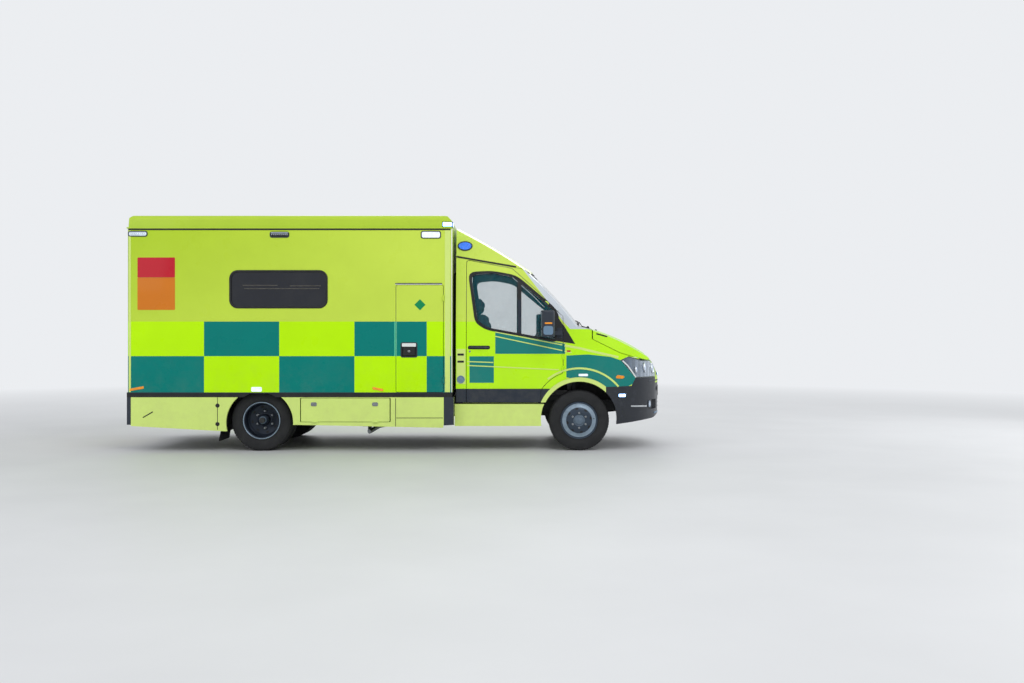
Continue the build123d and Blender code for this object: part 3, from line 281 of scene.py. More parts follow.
def metal(name, colour, roughness=0.32, metallic=1.0):
    """Metal with dull blotches."""
    tree = Tree(name)
    tree.set(Base_Color=tree.mix(tree.blotches(), colour, tinted(colour, 0.62)),
             Metallic=metallic,
             Roughness=tree.cloud(40.0, 3.0, roughness - 0.08, roughness + 0.12, 0.6))
    tree.bump(tree.noise(120.0, 3.0, 0.6), 0.05, 0.0005)
    return tree.material


def glass(name, tint, opacity, edge=None, dust=0.12):
    """Thin tinted pane with faint dust, and a black printed edge where one is given."""
    tree = Tree(name)
    smear = tree.noise(3.5, 5.0, 0.7).spread(0.45, 0.8)
    colour = tree.mix(smear * dust, tint, DUST)
    cover = smear.spread(0.0, 1.0, opacity, min(1.0, opacity + 0.05))
    if edge:
        printed = edge(tree)
        colour = tree.mix(printed, colour, PRINTED_BLACK)
        cover = cover | printed
    tree.set(Base_Color=colour, Alpha=cover, Roughness=smear.spread(0.0, 1.0, 0.03, 0.10),
             IOR=1.5, Coat_Weight=0.4)
    tree.material.blend_method = "BLEND"
    return tree.material


def lens(name, colour, glow):
    """Moulded lamp lens with upright flutes and some light of its own."""
    flute_pitch = 0.009
    tree = Tree(name)
    tree.set(Base_Color=tree.mix(tree.cloud(30.0), colour, tinted(colour, 0.6)),
             Roughness=0.12, IOR=1.49, Coat_Weight=0.6, Emission_Color=colour,
             Emission_Strength=glow)
    tree.bump(tree.math("SINE", tree.x * (2 * math.pi / flute_pitch)), 0.25, 0.0008)
    return tree.material


# Side squares: the columns' edges from the front axle and the two rows' heights
square_edges = (-5.19, -4.300, -3.440, -2.579, -1.752, -1.40)
rows = ((0.680, 1.095), (1.095, squares_top))
row_order = ((GREEN, FLUOR, GREEN, FLUOR, GREEN), (FLUOR, GREEN, FLUOR, GREEN, FLUOR))
side_squares = [(colour, ahead(rectangle(a, b, low, high)))
                for (low, high), colours in zip(rows, row_order)
                for a, b, colour in zip(square_edges, square_edges[1:], colours)]
# Zones of the cab sides: squares, a pale grey painted reflection on the windscreen pillar, window
# frame and the band over the sill
cab_squares = [(colour, ahead(outline)) for colour, outline in (
    (FLUOR, rectangle(-1.44, -0.955, 0.700, squares_top)),
    (FLUOR, rectangle(-0.955, -0.150, 0.700, 1.120)),
    (GREEN, [(-0.969, 1.120), (-0.165, 1.120), (-0.165, 1.235), (-0.969, 1.371)]),
    (GREEN, rectangle(-1.266, -0.985, 0.786, 1.092)),
    (FLUOR, [(-0.150, 1.090), (0.70, 0.98), (0.70, 1.45), (-0.150, 1.45)]),
    (GREEN, [(-0.150, 1.100), (0.10, 1.113), (0.36, 1.085), (0.52, 1.03), (0.70, 0.80),
             (0.45, 0.70), (-0.150, 0.85)]),
    # Painted reflection: pale grey over the windscreen pillar and round it
    (PILLAR_REFLECTION, [(-0.654, 2.103), (-0.195, 1.503), (-0.106, 1.406), (0.14, 1.406),
                   (0.14, 1.9), (-0.5, 2.3)]),
    (TRIM_DARK, [(-0.712, 1.345), (-0.667, 1.340), (-0.667, 1.945), (-0.712, 1.975)]),
    (TRIM_DARK, [(-0.280, 1.600), (-0.280, 1.270), (-0.046, 1.232)]),
    (TRIM_DARK, [(-0.470, 1.800), (-0.270, 1.610), (-0.270, 1.520), (-0.420, 1.680)]),
    (TRIM_DARK, rectangle(-1.43, -0.265, 0.54, 0.717)))]


# Masks: 1 where the text says, 0 elsewhere
def inward(tree):
    """The faces that look into the body or away from its sides."""
    return tree.axis(tree.facing, "Y") * tree.math("SIGN", tree.y) < 0.1


def behind_skin(tree):
    """What lies behind the outer skin of the box body."""
    return abs(tree.y) < box_half - 0.012


def behind_rear(tree):
    """What lies inside the rear faces."""
    return tree.x > box_rear + 0.030


def screen_edge(tree):
    """Printed border of the windscreen: its sides lean in, its foot and head are level."""
    low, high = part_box("windscreen")
    side_limit = tree.z.spread(1.44, 2.10, 0.755, 0.655)
    return (abs(tree.y) > side_limit) | (tree.z < low[2] + 0.060) | (tree.z > high[2] - 0.055)


def grille_surround(tree):
    low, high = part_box("grille")
    return ((abs(tree.y) > high[1] - 0.050) | (tree.z > high[2] - 0.018)
            | (tree.z < low[2] + 0.016))


def bumper_top(tree):
    """Band along the top of the front bumper, under the grille."""
    return (tree.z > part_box("front_bumper")[1][2] - 0.068) * (abs(tree.y) < 0.600)


# Colours laid over the squares
def chevrons(tree, colour):
    """Red and bright slanted stripes over the rear faces, below the windows."""
    stripe_pitch = 0.36
    stripe_top = 1.52
    stripe = tree.math("FRACT", (abs(tree.y) + tree.z) / stripe_pitch) < 0.5
    return tree.mix(tree.z < stripe_top, colour, tree.mix(stripe, FLUOR, SIGNAL_RED))


def arch_ring(tree, colour):
    """The raised lip round the front wheel is plain."""
    lip_radius, lip_foot = 0.486, 0.5
    reach = tree.distance(tree.x - front_axle, tree.z - arch_z)
    return tree.mix((reach < lip_radius) * (tree.z > lip_foot), colour, PALE_LIME)


def flare_shade_and_film_edge(tree, colour):
    """Painted light on the upper panels: lime deepened towards rear and roof as painted shade,
    paler towards the front as painted flare; and a pale film edge at the locker.
    """
    # Painted shade: above the squares the lime goes deeper towards the rear and the roof, and stays
    # paler towards the front as painted flare
    rearward = tree.x.spread(box_front - 0.4, box_rear)
    share = rearward * tree.z.spread(1.5, gutter).spread(0.0, 1.0, 0.35, 0.85)
    colour = tree.mix(tree.z > squares_top, colour, tree.mix(share, colour, SHADED_LIME))
    edge = tree.inside(ahead(rectangle(-2.122, -2.094, 1.095, squares_top)))
    return tree.mix(edge, colour, FILM_EDGE)


def nose_paint(name, surround):
    """Dark plastic with lime where the mask says."""
    tree = Tree(name)
    dark = tree.mix(tree.scuffs(), BUMPER_DARK, BUMPER_SCUFF)
    tree.set(Base_Color=tree.mix(surround(tree), dark, NOSE_LIME), Coat_Weight=0.2,
             Roughness=tree.cloud(9.0, 4.0, 0.34, 0.46))
    tree.bump(tree.noise(700.0, 2.0), 0.06, 0.0005)
    return tree.material


def lamp_core():
    """Fluted reflector of the headlamps: blue-grey with bright steps."""
    tree = Tree("lamp_core")
    wave = tree.node("TexWave", {"Vector": tree.place, "Scale": 7.0}, "Fac", bands_direction="Y")
    forward = tree.x.spread(fx(0.56), fx(0.86))
    colour = tree.mix(forward, shade(70, 92, 118), shade(206, 216, 228))
    step = wave.spread(0.35, 0.65) * 0.35
    tree.set(Base_Color=tree.mix(step, colour, shade(40, 52, 66)), Metallic=0.35, Roughness=0.22)
    tree.bump(wave, 0.3, 0.002)
    return tree.material


def rim_finish():
    """Dark disc and cap inside a bright ring, round the axle of each wheel."""
    tree = Tree("rim_silver")
    at_front = tree.x > (front_axle + rear_axle) / 2

    def by_axle(rear, front):
        return at_front.spread(0.0, 1.0, rear, front)

    reach = tree.distance(tree.x - by_axle(rear_axle, front_axle), tree.z - axle_z)
    ring = (reach > by_axle(0.204, 0.150)) * (reach < by_axle(0.240, 0.194))
    disc = tree.mix(at_front, shade(34, 44, 58), shade(52, 64, 78))
    colour = tree.mix(ring, disc, shade(138, 156, 172))
    colour = tree.mix(reach < by_axle(0.045, 0.066), colour, shade(98, 114, 130))
    tree.set(Base_Color=tree.mix(tree.blotches() * 0.5, colour, shade(40, 46, 54)),
             Metallic=0.45, Roughness=tree.cloud(40.0, 3.0, 0.3, 0.46, 0.6))
    tree.bump(tree.noise(120.0, 3.0, 0.6), 0.05, 0.0005)
    return tree.material


materials = {
    "body": paint("body_paint", LIME, side_squares, behind_skin, extra=flare_shade_and_film_edge, gloss=0.08),
    "rear": paint("rear_paint", LIME, (), behind_rear, extra=chevrons, gloss=0.1),
    "plain": paint("plain_lime", LIME, gloss=0.1),
    "skirt": paint("skirt_paint", PALE_LIME, gloss=0.1),
    "roof": paint("roof_paint", ROOF_LIME),
    "cab": paint("cab_paint", LIME, cab_squares, inward, CAB_LINING, arch_ring, 0.35),
    "bonnet": paint("bonnet_paint", FLUOR, gloss=0.6),
    "fairing": paint("fairing_paint", LIME, gloss=0.5),
    "plastic": plastic("dark_plastic", TRIM_DARK),
    "trim": plastic("inner_trim", shade(58, 60, 64), 0.6, 500.0, 0.2),
    "rubber": plastic("rubber", shade(20, 21, 23), 0.65, 300.0, 0.2),
    "chassis": metal("chassis_paint", shade(34, 36, 38), 0.45, 0.2),
    "cast": metal("cast_iron", shade(74, 74, 74), 0.6),
    "steel": metal("bright_steel", shade(150, 154, 158), 0.3),
    "rim": rim_finish(),
    "chrome": metal("lamp_chrome", shade(222, 226, 230), 0.12),
    "tyre": plastic("tyre_rubber", shade(26, 27, 29), 0.78, 240.0, 0.3),
    "window": glass("window_glass", shade(16, 120, 134), 0.13),
    "dark_window": glass("dark_window", shade(2, 10, 26), 0.95, dust=0.03),
    "screen": glass("screen_glass", shade(16, 104, 112), 0.13, screen_edge),
    "clear": glass("clear_lens", shade(214, 222, 230), 0.14),
    "lamp_core": lamp_core(),
    "projector": lens("projector_lens", shade(196, 212, 232), 0.25),
    "mirror": metal("mirror_glass", shade(176, 188, 196), 0.06),
    "flash": lens("flash_lens", shade(150, 196, 255), 5.0),
    "window_rail": metal("window_rail", shade(98, 96, 92), 0.4),
    "nose": nose_paint("nose_paint", grille_surround),
    "bumper_paint": nose_paint("bumper_nose_paint", bumper_top),
    "yellow": plastic("yellow_rail", shade(228, 190, 30), 0.4),
    "plate_white": plastic("plate_white", shade(232, 232, 224), 0.35),
    "plate_yellow": plastic("plate_yellow", shade(236, 196, 40), 0.35),
    "blue": lens("blue_lens", shade(30, 110, 230), 0.4),
    "amber": lens("amber_lens", shade(240, 150, 30), 0.2),
    "red": lens("red_lens", shade(190, 16, 20), 0.1),
    "white_lens": lens("white_lens", shade(226, 234, 246), 0.55),
    "pale_lens": lens("pale_lens", shade(206, 222, 236), 0.12),
    "bare_white": plastic("white_plastic", OFF_WHITE, 0.4),
    "gloss_black": plastic("gloss_black", shade(14, 16, 19), 0.22, 200.0, 0.02),
    "blue_grey": plastic("blue_grey_plastic", shade(104, 132, 158), 0.4),
    "green_film": paint("green_film", shade(10, 140, 84)),
    "red_film": paint("red_film", SIGNAL_RED),
    "orange_film": paint("orange_film", ORANGE),
    "fabric": plastic("seat_fabric", shade(44, 48, 58), 0.9, 1400.0, 0.5),
}

# What the carried-over CAD nodes wear. The others are dark plastic.
wearers = {
    "body": "box_wall_left box_wall_right entry_door locker_door",
    "rear": "box_rear_frame rear_door_left rear_door_right",
    "plain": "box_front_wall",
    "skirt": "sill_steps skirt_flap skirt_left skirt_right",
    "roof": "box_roof",
    "cab": "cab_door_left cab_door_right cab_sides front_wings",
    "bonnet": "bonnet",
    "fairing": "cab_roof",
    "trim": "cab_back cab_floor dashboard steering_wheel",
    "rubber": "box_floor mud_flaps",
    "chassis": "chassis_frame front_suspension",
    "cast": "engine_block knuckle_left knuckle_right rear_axle",
    "steel": "exhaust steering_rack",
    "rim": "front_rim_left front_rim_right rear_rims_left rear_rims_right",
    "tyre": "front_tyre_left front_tyre_right rear_tyres_left rear_tyres_right",
    "window": "cab_glass_left cab_glass_right",
    "dark_window": "box_window entry_glass rear_glass_left rear_glass_right",
    "screen": "windscreen",
    "clear": "headlamps",
    "nose": "grille",
    "bumper_paint": "front_bumper",
    "blue": "side_lamps",
    "red": "tail_lamps",
    "fabric": "seats",
}
finishes = {node: finish for finish, nodes in wearers.items() for node in nodes.split()}
for node_name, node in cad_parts.items():
    node.data.materials.clear()
    node.data.materials.append(materials[finishes.get(node_name, "plastic")])

# Axes of a view's outline, and of the ray that looks for the skin
VIEWS = {"side": (0, 2, 1), "front": (1, 2, 0), "top": (0, 1, 2)}
ON_LINE = 0.0005  # radius of a turned section's ends on their line


def spot(view, first, second, depth):
    """Point from two distances in a view and a depth."""
    point = Vector()
    for axis, value in zip(VIEWS[view], (first, second, depth)):
        point[axis] = value
    return point


def skin(*node_names):
    """Search tree over the faces of CAD nodes."""
    points, faces = [], []
    for node_name in node_names:
        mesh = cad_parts[node_name].data
        start = len(points)
        points += [v.co.copy() for v in mesh.vertices]
        faces += [tuple(start + i for i in p.vertices) for p in mesh.polygons]
    return BVHTree.FromPolygons(points, faces)


def skin_point(tree, first, second, side, view="side"):
    """Where the skin lies behind a point of a view, looked at from the given side."""
    far = 6.0
    return tree.ray_cast(spot(view, first, second, side * far), spot(view, 0, 0, -side))[0]


def skin_depth(tree, first, second, side, view="side"):
    """The same place's depth alone, or None where there is no skin."""
    hit = skin_point(tree, first, second, side, view)
    return None if hit is None else hit[VIEWS[view][2]]


def walls(rings, size, closed=False, sides=None):
    """Faces between neighbouring rings of points, on all sides of a ring or the first few."""
    faces = []
    for ring in range(rings if closed else rings - 1):
        here, there = ring * size, (ring + 1) % rings * size
        for i in range(sides or size):
            after = (i + 1) % size
            faces.append((here + i, there + i, there + after, here + after))
    return faces


class Shape:
    """Gathers points and faces, then becomes one piece."""

    def __init__(self):
        self.points, self.faces = [], []

    def add(self, points, faces):
        start = len(self.points)
        self.points += [tuple(p) for p in points]
        self.faces += [tuple(start + index for index in face) for face in faces]
        return self

    def prism(self, low_ring, high_ring):
        """Closed solid between two rings of as many points."""
        count = len(low_ring)
        ends = [tuple(range(count))[::-1], tuple(range(count, 2 * count))]
        return self.add([*low_ring, *high_ring], ends + walls(2, count))

    def block(self, xs, ys, zs):
        low, high = ([(x, y, z) for x, y in rectangle(*xs, *ys)] for z in zs)
        return self.prism(low, high)

    def side_plate(self, outline, ys):
        """Solid whose side view is the outline."""
        low, high = ([(x, y, z) for x, z in outline] for y in ys)
        return self.prism(low, high)

    def turned(self, section, centre, outward, count, closed=False):
        """Surface turned about a line: section of distance along it and radius."""
        line = Vector(outward).normalized()
        aside = line.orthogonal().normalized()
        up = line.cross(aside)
        points = []
        for step in range(count):
            angle = 2 * math.pi * step / count
            ray = aside * math.cos(angle) + up * math.sin(angle)
            points += [Vector(centre) + line * along + ray * radius for along, radius in section]
        size = len(section)
        if closed:
            return self.add(points, walls(count, size, True))
        ends = [tuple(step * size for step in range(count)),
                tuple(step * size + size - 1 for step in reversed(range(count)))]
        return self.add(points, walls(count, size, True, size - 1) + ends)

    def stud(self, section, centre, outward, count, tip=None):
        """Turned solid. Its section runs to the line at both ends, at the tip where given."""
        end = section[-1][0] if tip is None else tip
        full = [(section[0][0], ON_LINE), *section, (end, ON_LINE)]
        return self.turned(full, centre, outward, count)

    def tube(self, path, radius, sides=8, closed=False, flat=1.0, up=(0, 1, 0)):
        """Bar along a path, round or flattened towards the up direction."""
        path, up = [Vector(p) for p in path], Vector(up)
        count = len(path)
        points = []
        for index, place in enumerate(path):
            before = path[index - 1] if index or closed else place
            after = path[(index + 1) % count] if index < count - 1 or closed else place
            way = (after - before).normalized()
            rise = (up - way * way.dot(up)).normalized()
            aside = way.cross(rise)
            for step in range(sides):
                angle = 2 * math.pi * (step + 0.5) / sides
                points.append(place + aside * radius * math.cos(angle)
                              + rise * radius * flat * math.sin(angle))
        ends = [tuple(range(sides))[::-1], tuple(range((count - 1) * sides, count * sides))]
        return self.add(points, walls(count, sides, closed) + ([] if closed else ends))

    def drape(self, outline, tree, side, inner=-0.004, outer=0.004, cell=0.05, view="side"):
        """Plate that follows a skin inside an outline of a view."""
        work = bmesh.new()
        work.faces.new([work.verts.new((*place, 0)) for place in outline])
        for axis in (0, 1):
            low, high = (pick(point[axis] for point in outline) for pick in (min, max))
            cuts = int((high - low) / cell)
            for index in range(1, cuts + 1):
                place, way = Vector(), Vector()
                place[axis] = low + (high - low) * index / (cuts + 1)
                way[axis] = 1
                bmesh.ops.bisect_plane(work, geom=[*work.verts, *work.edges, *work.faces],
                                       plane_co=place, plane_no=way)
        work.verts.index_update()
        depths = [skin_depth(tree, v.co.x, v.co.y, side, view) for v in work.verts]
        known = [depth for depth in depths if depth is not None]
        spare = sum(known) / len(known)
        points = [spot(view, v.co.x, v.co.y, (spare if depth is None else depth) + side * lift)
                  for lift in (inner, outer) for v, depth in zip(work.verts, depths)]
        count = len(work.verts)
        faces = [tuple(v.index for v in face.verts)[::-1] for face in work.faces]
        faces += [tuple(v.index + count for v in face.verts) for face in work.faces]
        for edge in work.edges:
            if len(edge.link_faces) == 1:
                a, b = (vertex.index for vertex in edge.verts)
                faces.append((a, b, b + count, a + count))
        work.free()
        return self.add(points, faces)

    def make(self, name, material, body="root", bevel=0.0, segments=2, smooth=40,
             stands_for=(), weld=0.0):
        """The piece: it rides a body, and takes the place of CAD nodes where they are named."""
        mesh = bpy.data.meshes.new(name)
        mesh.from_pydata(self.points, [], self.faces)
        work = bmesh.new()
        work.from_mesh(mesh)
        if weld:
            bmesh.ops.remove_doubles(work, verts=work.verts, dist=weld)
        bmesh.ops.recalc_face_normals(work, faces=work.faces)
        work.to_mesh(mesh)
        work.free()
        mesh.polygons.foreach_set("use_smooth", [True] * len(mesh.polygons))
        mesh.set_sharp_from_angle(angle=math.radians(smooth))
        mesh.materials.append(materials[material])
        made = bpy.data.objects.new(name, mesh)
        bpy.context.collection.objects.link(made)
        if bevel:
            edge = made.modifiers.new("edge", "BEVEL")
            edge.width = bevel
            edge.segments = segments
            edge.limit_method = "ANGLE"
            edge.angle_limit = math.radians(35)
            edge.harden_normals = True
        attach(made, body)
        if stands_for:
            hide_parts(*stands_for)
        return made


def patch(name, material, tree, outlines, side, lifts=(-0.002, 0.003), view="side", body="root",
          cell=0.05, **options):
    """One piece made of plates that follow a skin."""
    shape = Shape()
    for outline in outlines:
        shape.drape(outline, tree, side, *lifts, cell, view)
    return shape.make(name, material, body, **options)


def seated(tree, path, side=1, view="front", lift=0.0):
    """Path of a view laid on a skin."""
    hits = [skin_point(tree, first, second, side, view) for first, second in path]
    return [hit + spot(view, 0, 0, side * lift) for hit in hits if hit is not None]


def band(path, width):
    """Outline of a stripe of some width along a path of the side view."""
    upper, lower = [], []
    for index, point in enumerate(path):
        before, after = path[max(index - 1, 0)], path[min(index + 1, len(path) - 1)]
        way = (Vector(after) - Vector(before)).normalized()
        aside = Vector((-way.y, way.x)) * width / 2
        upper.append(tuple(Vector(point) + aside))
        lower.append(tuple(Vector(point) - aside))
    return upper + lower[::-1]


def polar(centre, radius, angle):
    """Point of the side view at a distance and an angle from straight ahead."""
    return centre[0] + radius * math.cos(angle), centre[1] + radius * math.sin(angle)


def arc(centre, radius, start, end, count):
    """Points along an arc, its angles in degrees."""
    return [polar(centre, radius, math.radians(start + (end - start) * i / (count - 1)))
            for i in range(count)]


def oval(centre, half_length, half_height, count=32):
    turns = [2 * math.pi * step / count for step in range(count)]
    return [(centre[0] + half_length * math.cos(turn), centre[1] + half_height * math.sin(turn))
            for turn in turns]


def rounded(x_low, x_high, z_low, z_high, radius, count=6):
    """Rectangle with round corners."""
    corners = ((x_high - radius, z_high - radius, 0), (x_low + radius, z_high - radius, 90),
               (x_low + radius, z_low + radius, 180), (x_high - radius, z_low + radius, 270))
    return [point for x, z, start in corners
            for point in arc((x, z), radius, start, start + 90, count)]


def eased(points, radius, count=5):
    """The same closed outline with round corners."""
    path = []
    for index, corner in enumerate(points):
        corner = Vector(corner)
        ways = [Vector(points[other % len(points)]) - corner for other in (index - 1, index + 1)]
        reach = min(radius, *(way.length * 0.45 for way in ways))
        start, end = (corner + way.normalized() * reach for way in ways)
        for step in range(count):
            t = step / (count - 1)
            path.append(tuple(start * (1 - t) ** 2 + corner * 2 * t * (1 - t) + end * t * t))
    return path


def fine_path(points, step=0.05, closed=False):
    """The same path with more points on its runs."""
    path = []
    for a, b in zip(points, points[1:] + (points[:1] if closed else [])):
        a, b = Vector(a), Vector(b)
        cuts = max(1, int((b - a).length / step))
        path += [tuple(a.lerp(b, i / cuts)) for i in range(cuts)]
    return path if closed else path + [points[-1]]


# Tyres with a grooved tread, bulged walls and a rim guard
tyre_low, tyre_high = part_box("front_tyre_right")
tyre_half = (tyre_high[1] - tyre_low[1]) / 2
front_hub = (front_axle, axle_z)
rear_hub = (rear_axle, axle_z)
tread_blocks = 66


def tyre_rows():
    """Rows of the tyre's section, inner bead to outer: place, radius, depth of its cuts."""
    half = [(0.0735, 0.2035, 0), (0.0735, 0.2165, 0), (0.086, 0.2175, 0), (0.094, 0.222, 0),
            (0.0965, 0.228, 0), (0.0945, 0.231, 0), (0.0985, 0.245, 0),
            (tyre_half - 0.0002, 0.268, 0), (0.1015, 0.292, 0), (0.098, 0.314, 0),
            (0.0955, 0.317, 0), (0.0945, 0.327, 0), (0.091, 0.336, 0.003),
            (0.082, 0.3445, 0.006), (0.070, 0.3482, 0.006)]
    groove_half, groove_floor = 0.0045, 0.3416
    for place in (0.052, 0.016):
        half += [(place + groove_half, 0.3496, 0.004), (place + groove_half * 0.7, groove_floor, 0),
                 (place - groove_half * 0.7, groove_floor, 0), (place - groove_half, 0.3498, 0.004)]
    return [(-y, r, cut) for y, r, cut in half] + [(y, r, cut) for y, r, cut in reversed(half)]


def add_tyre(shape, x, y):
    """Adds one tyre, its tread blocks parted by cross cuts."""
    rows_of = tyre_rows()
    wide = 2 * math.pi / tread_blocks
    skew = 0.12  # turn of a cross cut for each metre out from the middle
    points = []
    for block_index in range(tread_blocks):
        for share, is_cut in ((0, 0), (0.12, 1), (0.22, 1), (0.34, 0)):
            angle = wide * (block_index + share)
            for place, radius, cut in rows_of:
                turn = angle + (skew * place if cut else 0.0)
                along, height = polar((x, axle_z), radius - cut * is_cut, turn)
                points.append((along, y + place, height))
    shape.add(points, walls(len(points) // len(rows_of), len(rows_of), True))


def tyres():
    """Two front tyres and two pairs at the rear, in the place of the CAD ones."""
    for side_name in SIDES:
        for node, body, x in (("front_tyre", "front_wheel", front_axle),
                              ("rear_tyres", "rear_wheels", rear_axle)):
            low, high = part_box(f"{node}_{side_name}")
            places = (low[1] + tyre_half, high[1] - tyre_half)
            shape = Shape()
            for y in places if node == "rear_tyres" else [sum(places) / 2]:
                add_tyre(shape, x, y)
            place, kind = node.split("_")
            shape.make(f"tread_{kind}_{place}_{side_name}", "tyre", f"{body}_{side_name}",
                       smooth=28, stands_for=(f"{node}_{side_name}",))


def arch_liners():
    """Moulded liners over the front tyres, which close the engine bay from the road."""
    inner, outer = 0.560, 0.955
    inner_radius, outer_radius = 0.470, 0.476
    start, sweep = 0.03, 0.485  # in half turns
    steps = 14
    corners = ((inner, inner_radius), (outer, inner_radius), (outer, outer_radius),
               (inner, outer_radius))
    for name in ("left", "right"):
        side = SIDES[name]
        centre = middle(f"front_tyre_{name}")
        points = []
        for step in range(steps + 1):
            angle = math.pi * (start + sweep * step / steps)
            for y, radius in corners:
                x, z = polar((centre.x, centre.z), radius, angle)
                points.append((x, side * y, z))
        ends = [range(4), range(4 * steps + 3, 4 * steps - 1, -1)]
        Shape().add(points, walls(steps + 1, 4) + ends).make(f"arch_liner_{name}", "rubber")


def wheel_fittings():
    """Nuts on each rim, and hub caps on the front ones."""
    nut_count = 6

    def nuts(name, body, hub, y, circle, section):
        shape = Shape()
        for index in range(nut_count):
            x, z = polar(hub, circle, 2 * math.pi * (index + 0.5) / nut_count)
            shape.stud(section, (x, y, z), out, 12)
        shape.make(f"wheel_nuts_{name}", "steel", body, smooth=30)

    for side_name, side in SIDES.items():
        out = (0, side, 0)
        front = f"front_wheel_{side_name}"
        face = side * max(abs(corner[1]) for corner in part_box(f"front_rim_{side_name}"))
        nuts(f"front_{side_name}", front, front_hub, face - side * 0.013, 0.0855,
             [(0, 0.017), (0.004, 0.017), (0.006, 0.0125), (0.022, 0.0125), (0.025, 0.009)])
        cap = [(0, 0.058), (0.016, 0.058), (0.022, 0.052), (0.027, 0.044), (0.031, 0.040),
               (0.032, 0.024), (0.034, 0.020)]
        Shape().stud(cap, (front_axle, face - side * 0.014, axle_z), out, 48).make(
            f"hub_cap_front_{side_name}", "rim", front, smooth=30)
        nuts(f"rear_{side_name}", f"rear_wheels_{side_name}", rear_hub, side * 0.795, 0.1,
             [(0, 0.018), (0.004, 0.018), (0.007, 0.0135), (0.030, 0.0135), (0.033, 0.009)])


tyres()
arch_liners()
wheel_fittings()


# Box body trim
def off_box(side, inner, outer):
    """Two distances out from the side face of the box body, as places on a side."""
    return across(side, box_half + inner, box_half + outer)


def box_strips():
    """Black seal under the roof cap, corner mouldings and the lip of the floor rail."""
    seal, mouldings, rail = Shape(), Shape(), Shape()
    for side in SIDES.values():
        ys = off_box(side, -0.004, 0.0045)
        seal.block((box_rear + 0.02, box_front - 0.02), ys, (gutter - 0.019, gutter - 0.0005))
        for xs in ((fx(-1.545), fx(-1.484)), (fx(-5.160), fx(-5.136))):
            mouldings.block(xs, ys, (floor_top + 0.002, gutter - 0.021))
        rail.block((box_rear + 0.01, box_front - 0.01), ys, (floor_top - 0.011, floor_top - 0.001))
    seal.make("roof_seal", "rubber", bevel=0.002)
    mouldings.make("corner_mouldings", "skirt", bevel=0.004, segments=3)
    rail.make("rail_lip", "plastic", bevel=0.002)


def window_seal(name, node, side, corner, count, radius, body="root"):
    """Rubber round a window of the box body."""
    low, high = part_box(node)
    outline = rounded(low[0], high[0], low[2], high[2], corner, count)
    path = [(x, side * (box_half + 0.001), z) for x, z in outline]
    Shape().tube(path, radius, closed=True, flat=0.55).make(name, "rubber", body)


def side_window():
    """Rubber surrounds of the two side windows, and the inner frame line of the right one."""
    window_seal("window_seal", "box_window", -1, 0.085, 10, 0.013)
    rails = Shape()
    glass_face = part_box("box_window")[0][1] - 0.0005
    ys = (glass_face - 0.004, glass_face + 0.002)
    for x_low, x_high, z in ((-3.86, -3.46, 1.905), (-3.32, -2.96, 1.900), (-3.84, -2.98, 1.868)):
        rails.block((fx(x_low), fx(x_high)), ys, (z - 0.0055, z + 0.0055))
    rails.make("window_slide_rails", "window_rail", bevel=0.001)
    window_seal("entry_window_seal", "entry_glass", 1, 0.06, 10, 0.012, "entry_door")


def locker_trim():
    """Drip rail and lip, recess with its paddle handle, lock and green mark of the locker."""
    face = -box_half
    xs = (fx(-2.112), fx(-1.575))
    Shape().block(xs, (face - 0.0085, face + 0.002), (1.922, 1.931)).make(
        "locker_drip_rail", "plastic", bevel=0.002)
    Shape().block(xs, (face - 0.006, face + 0.002), (1.9135, 1.9215)).make(
        "locker_drip_lip", "bare_white", bevel=0.0015)
    recess = rounded(fx(-2.043), fx(-1.867), 1.087, 1.245, 0.014)
    Shape().side_plate(recess, (face + 0.0125, face + 0.0158)).make(
        "locker_recess", "rubber", "locker_door")
    rim = [(x, face - 0.0005, z) for x, z in rounded(fx(-2.046), fx(-1.864), 1.084, 1.248, 0.016)]
    Shape().tube(rim, 0.0055, closed=True, flat=0.7).make(
        "locker_recess_rim", "plastic", "locker_door")
    flap = rounded(fx(-2.036), fx(-1.874), 1.203, 1.243, 0.010)
    Shape().side_plate(flap, (face - 0.004, face + 0.010)).make(
        "locker_latch_flap", "bare_white", "locker_door", bevel=0.003)
    back = ahead(rectangle(-2.030, -1.880, 1.098, 1.198))
    front = ((-2.022, 0.001, 1.104), (-1.888, 0.001, 1.104), (-1.892, 0.006, 1.194),
             (-2.018, 0.006, 1.194))
    Shape().prism([(x, face + 0.012, z) for x, z in back],
                  [(fx(x), face + depth, z) for x, depth, z in front]).make(
        "locker_paddle", "rubber", "locker_door", bevel=0.003)
    Shape().stud([(0, 0.014), (0.003, 0.014), (0.005, 0.011)], (fx(-1.955), face + 0.0035, 1.150),
                 (0, -1, 0), 24).make("locker_lock", "steel", "locker_door")
    diamond = [polar((fx(-1.829), 1.683), 0.064, quarter * math.pi / 2) for quarter in range(4)]
    Shape().side_plate(diamond, (face - 0.0012, face + 0.002)).make(
        "locker_green_mark", "green_film", "locker_door")


def side_panel():
    """Plain red and orange panel near the rear of both sides."""
    for side_name, side in SIDES.items():
        for colour, z_low, z_high in (("red_film", 1.994, 2.224), ("orange_film", 1.624, 1.992)):
            outline = rounded(fx(-5.061), fx(-4.632), z_low, z_high, 0.008, 4)
            Shape().side_plate(outline, off_box(side, -0.002, 0.0012)).make(
                f"side_panel_{colour}_{side_name}", colour)


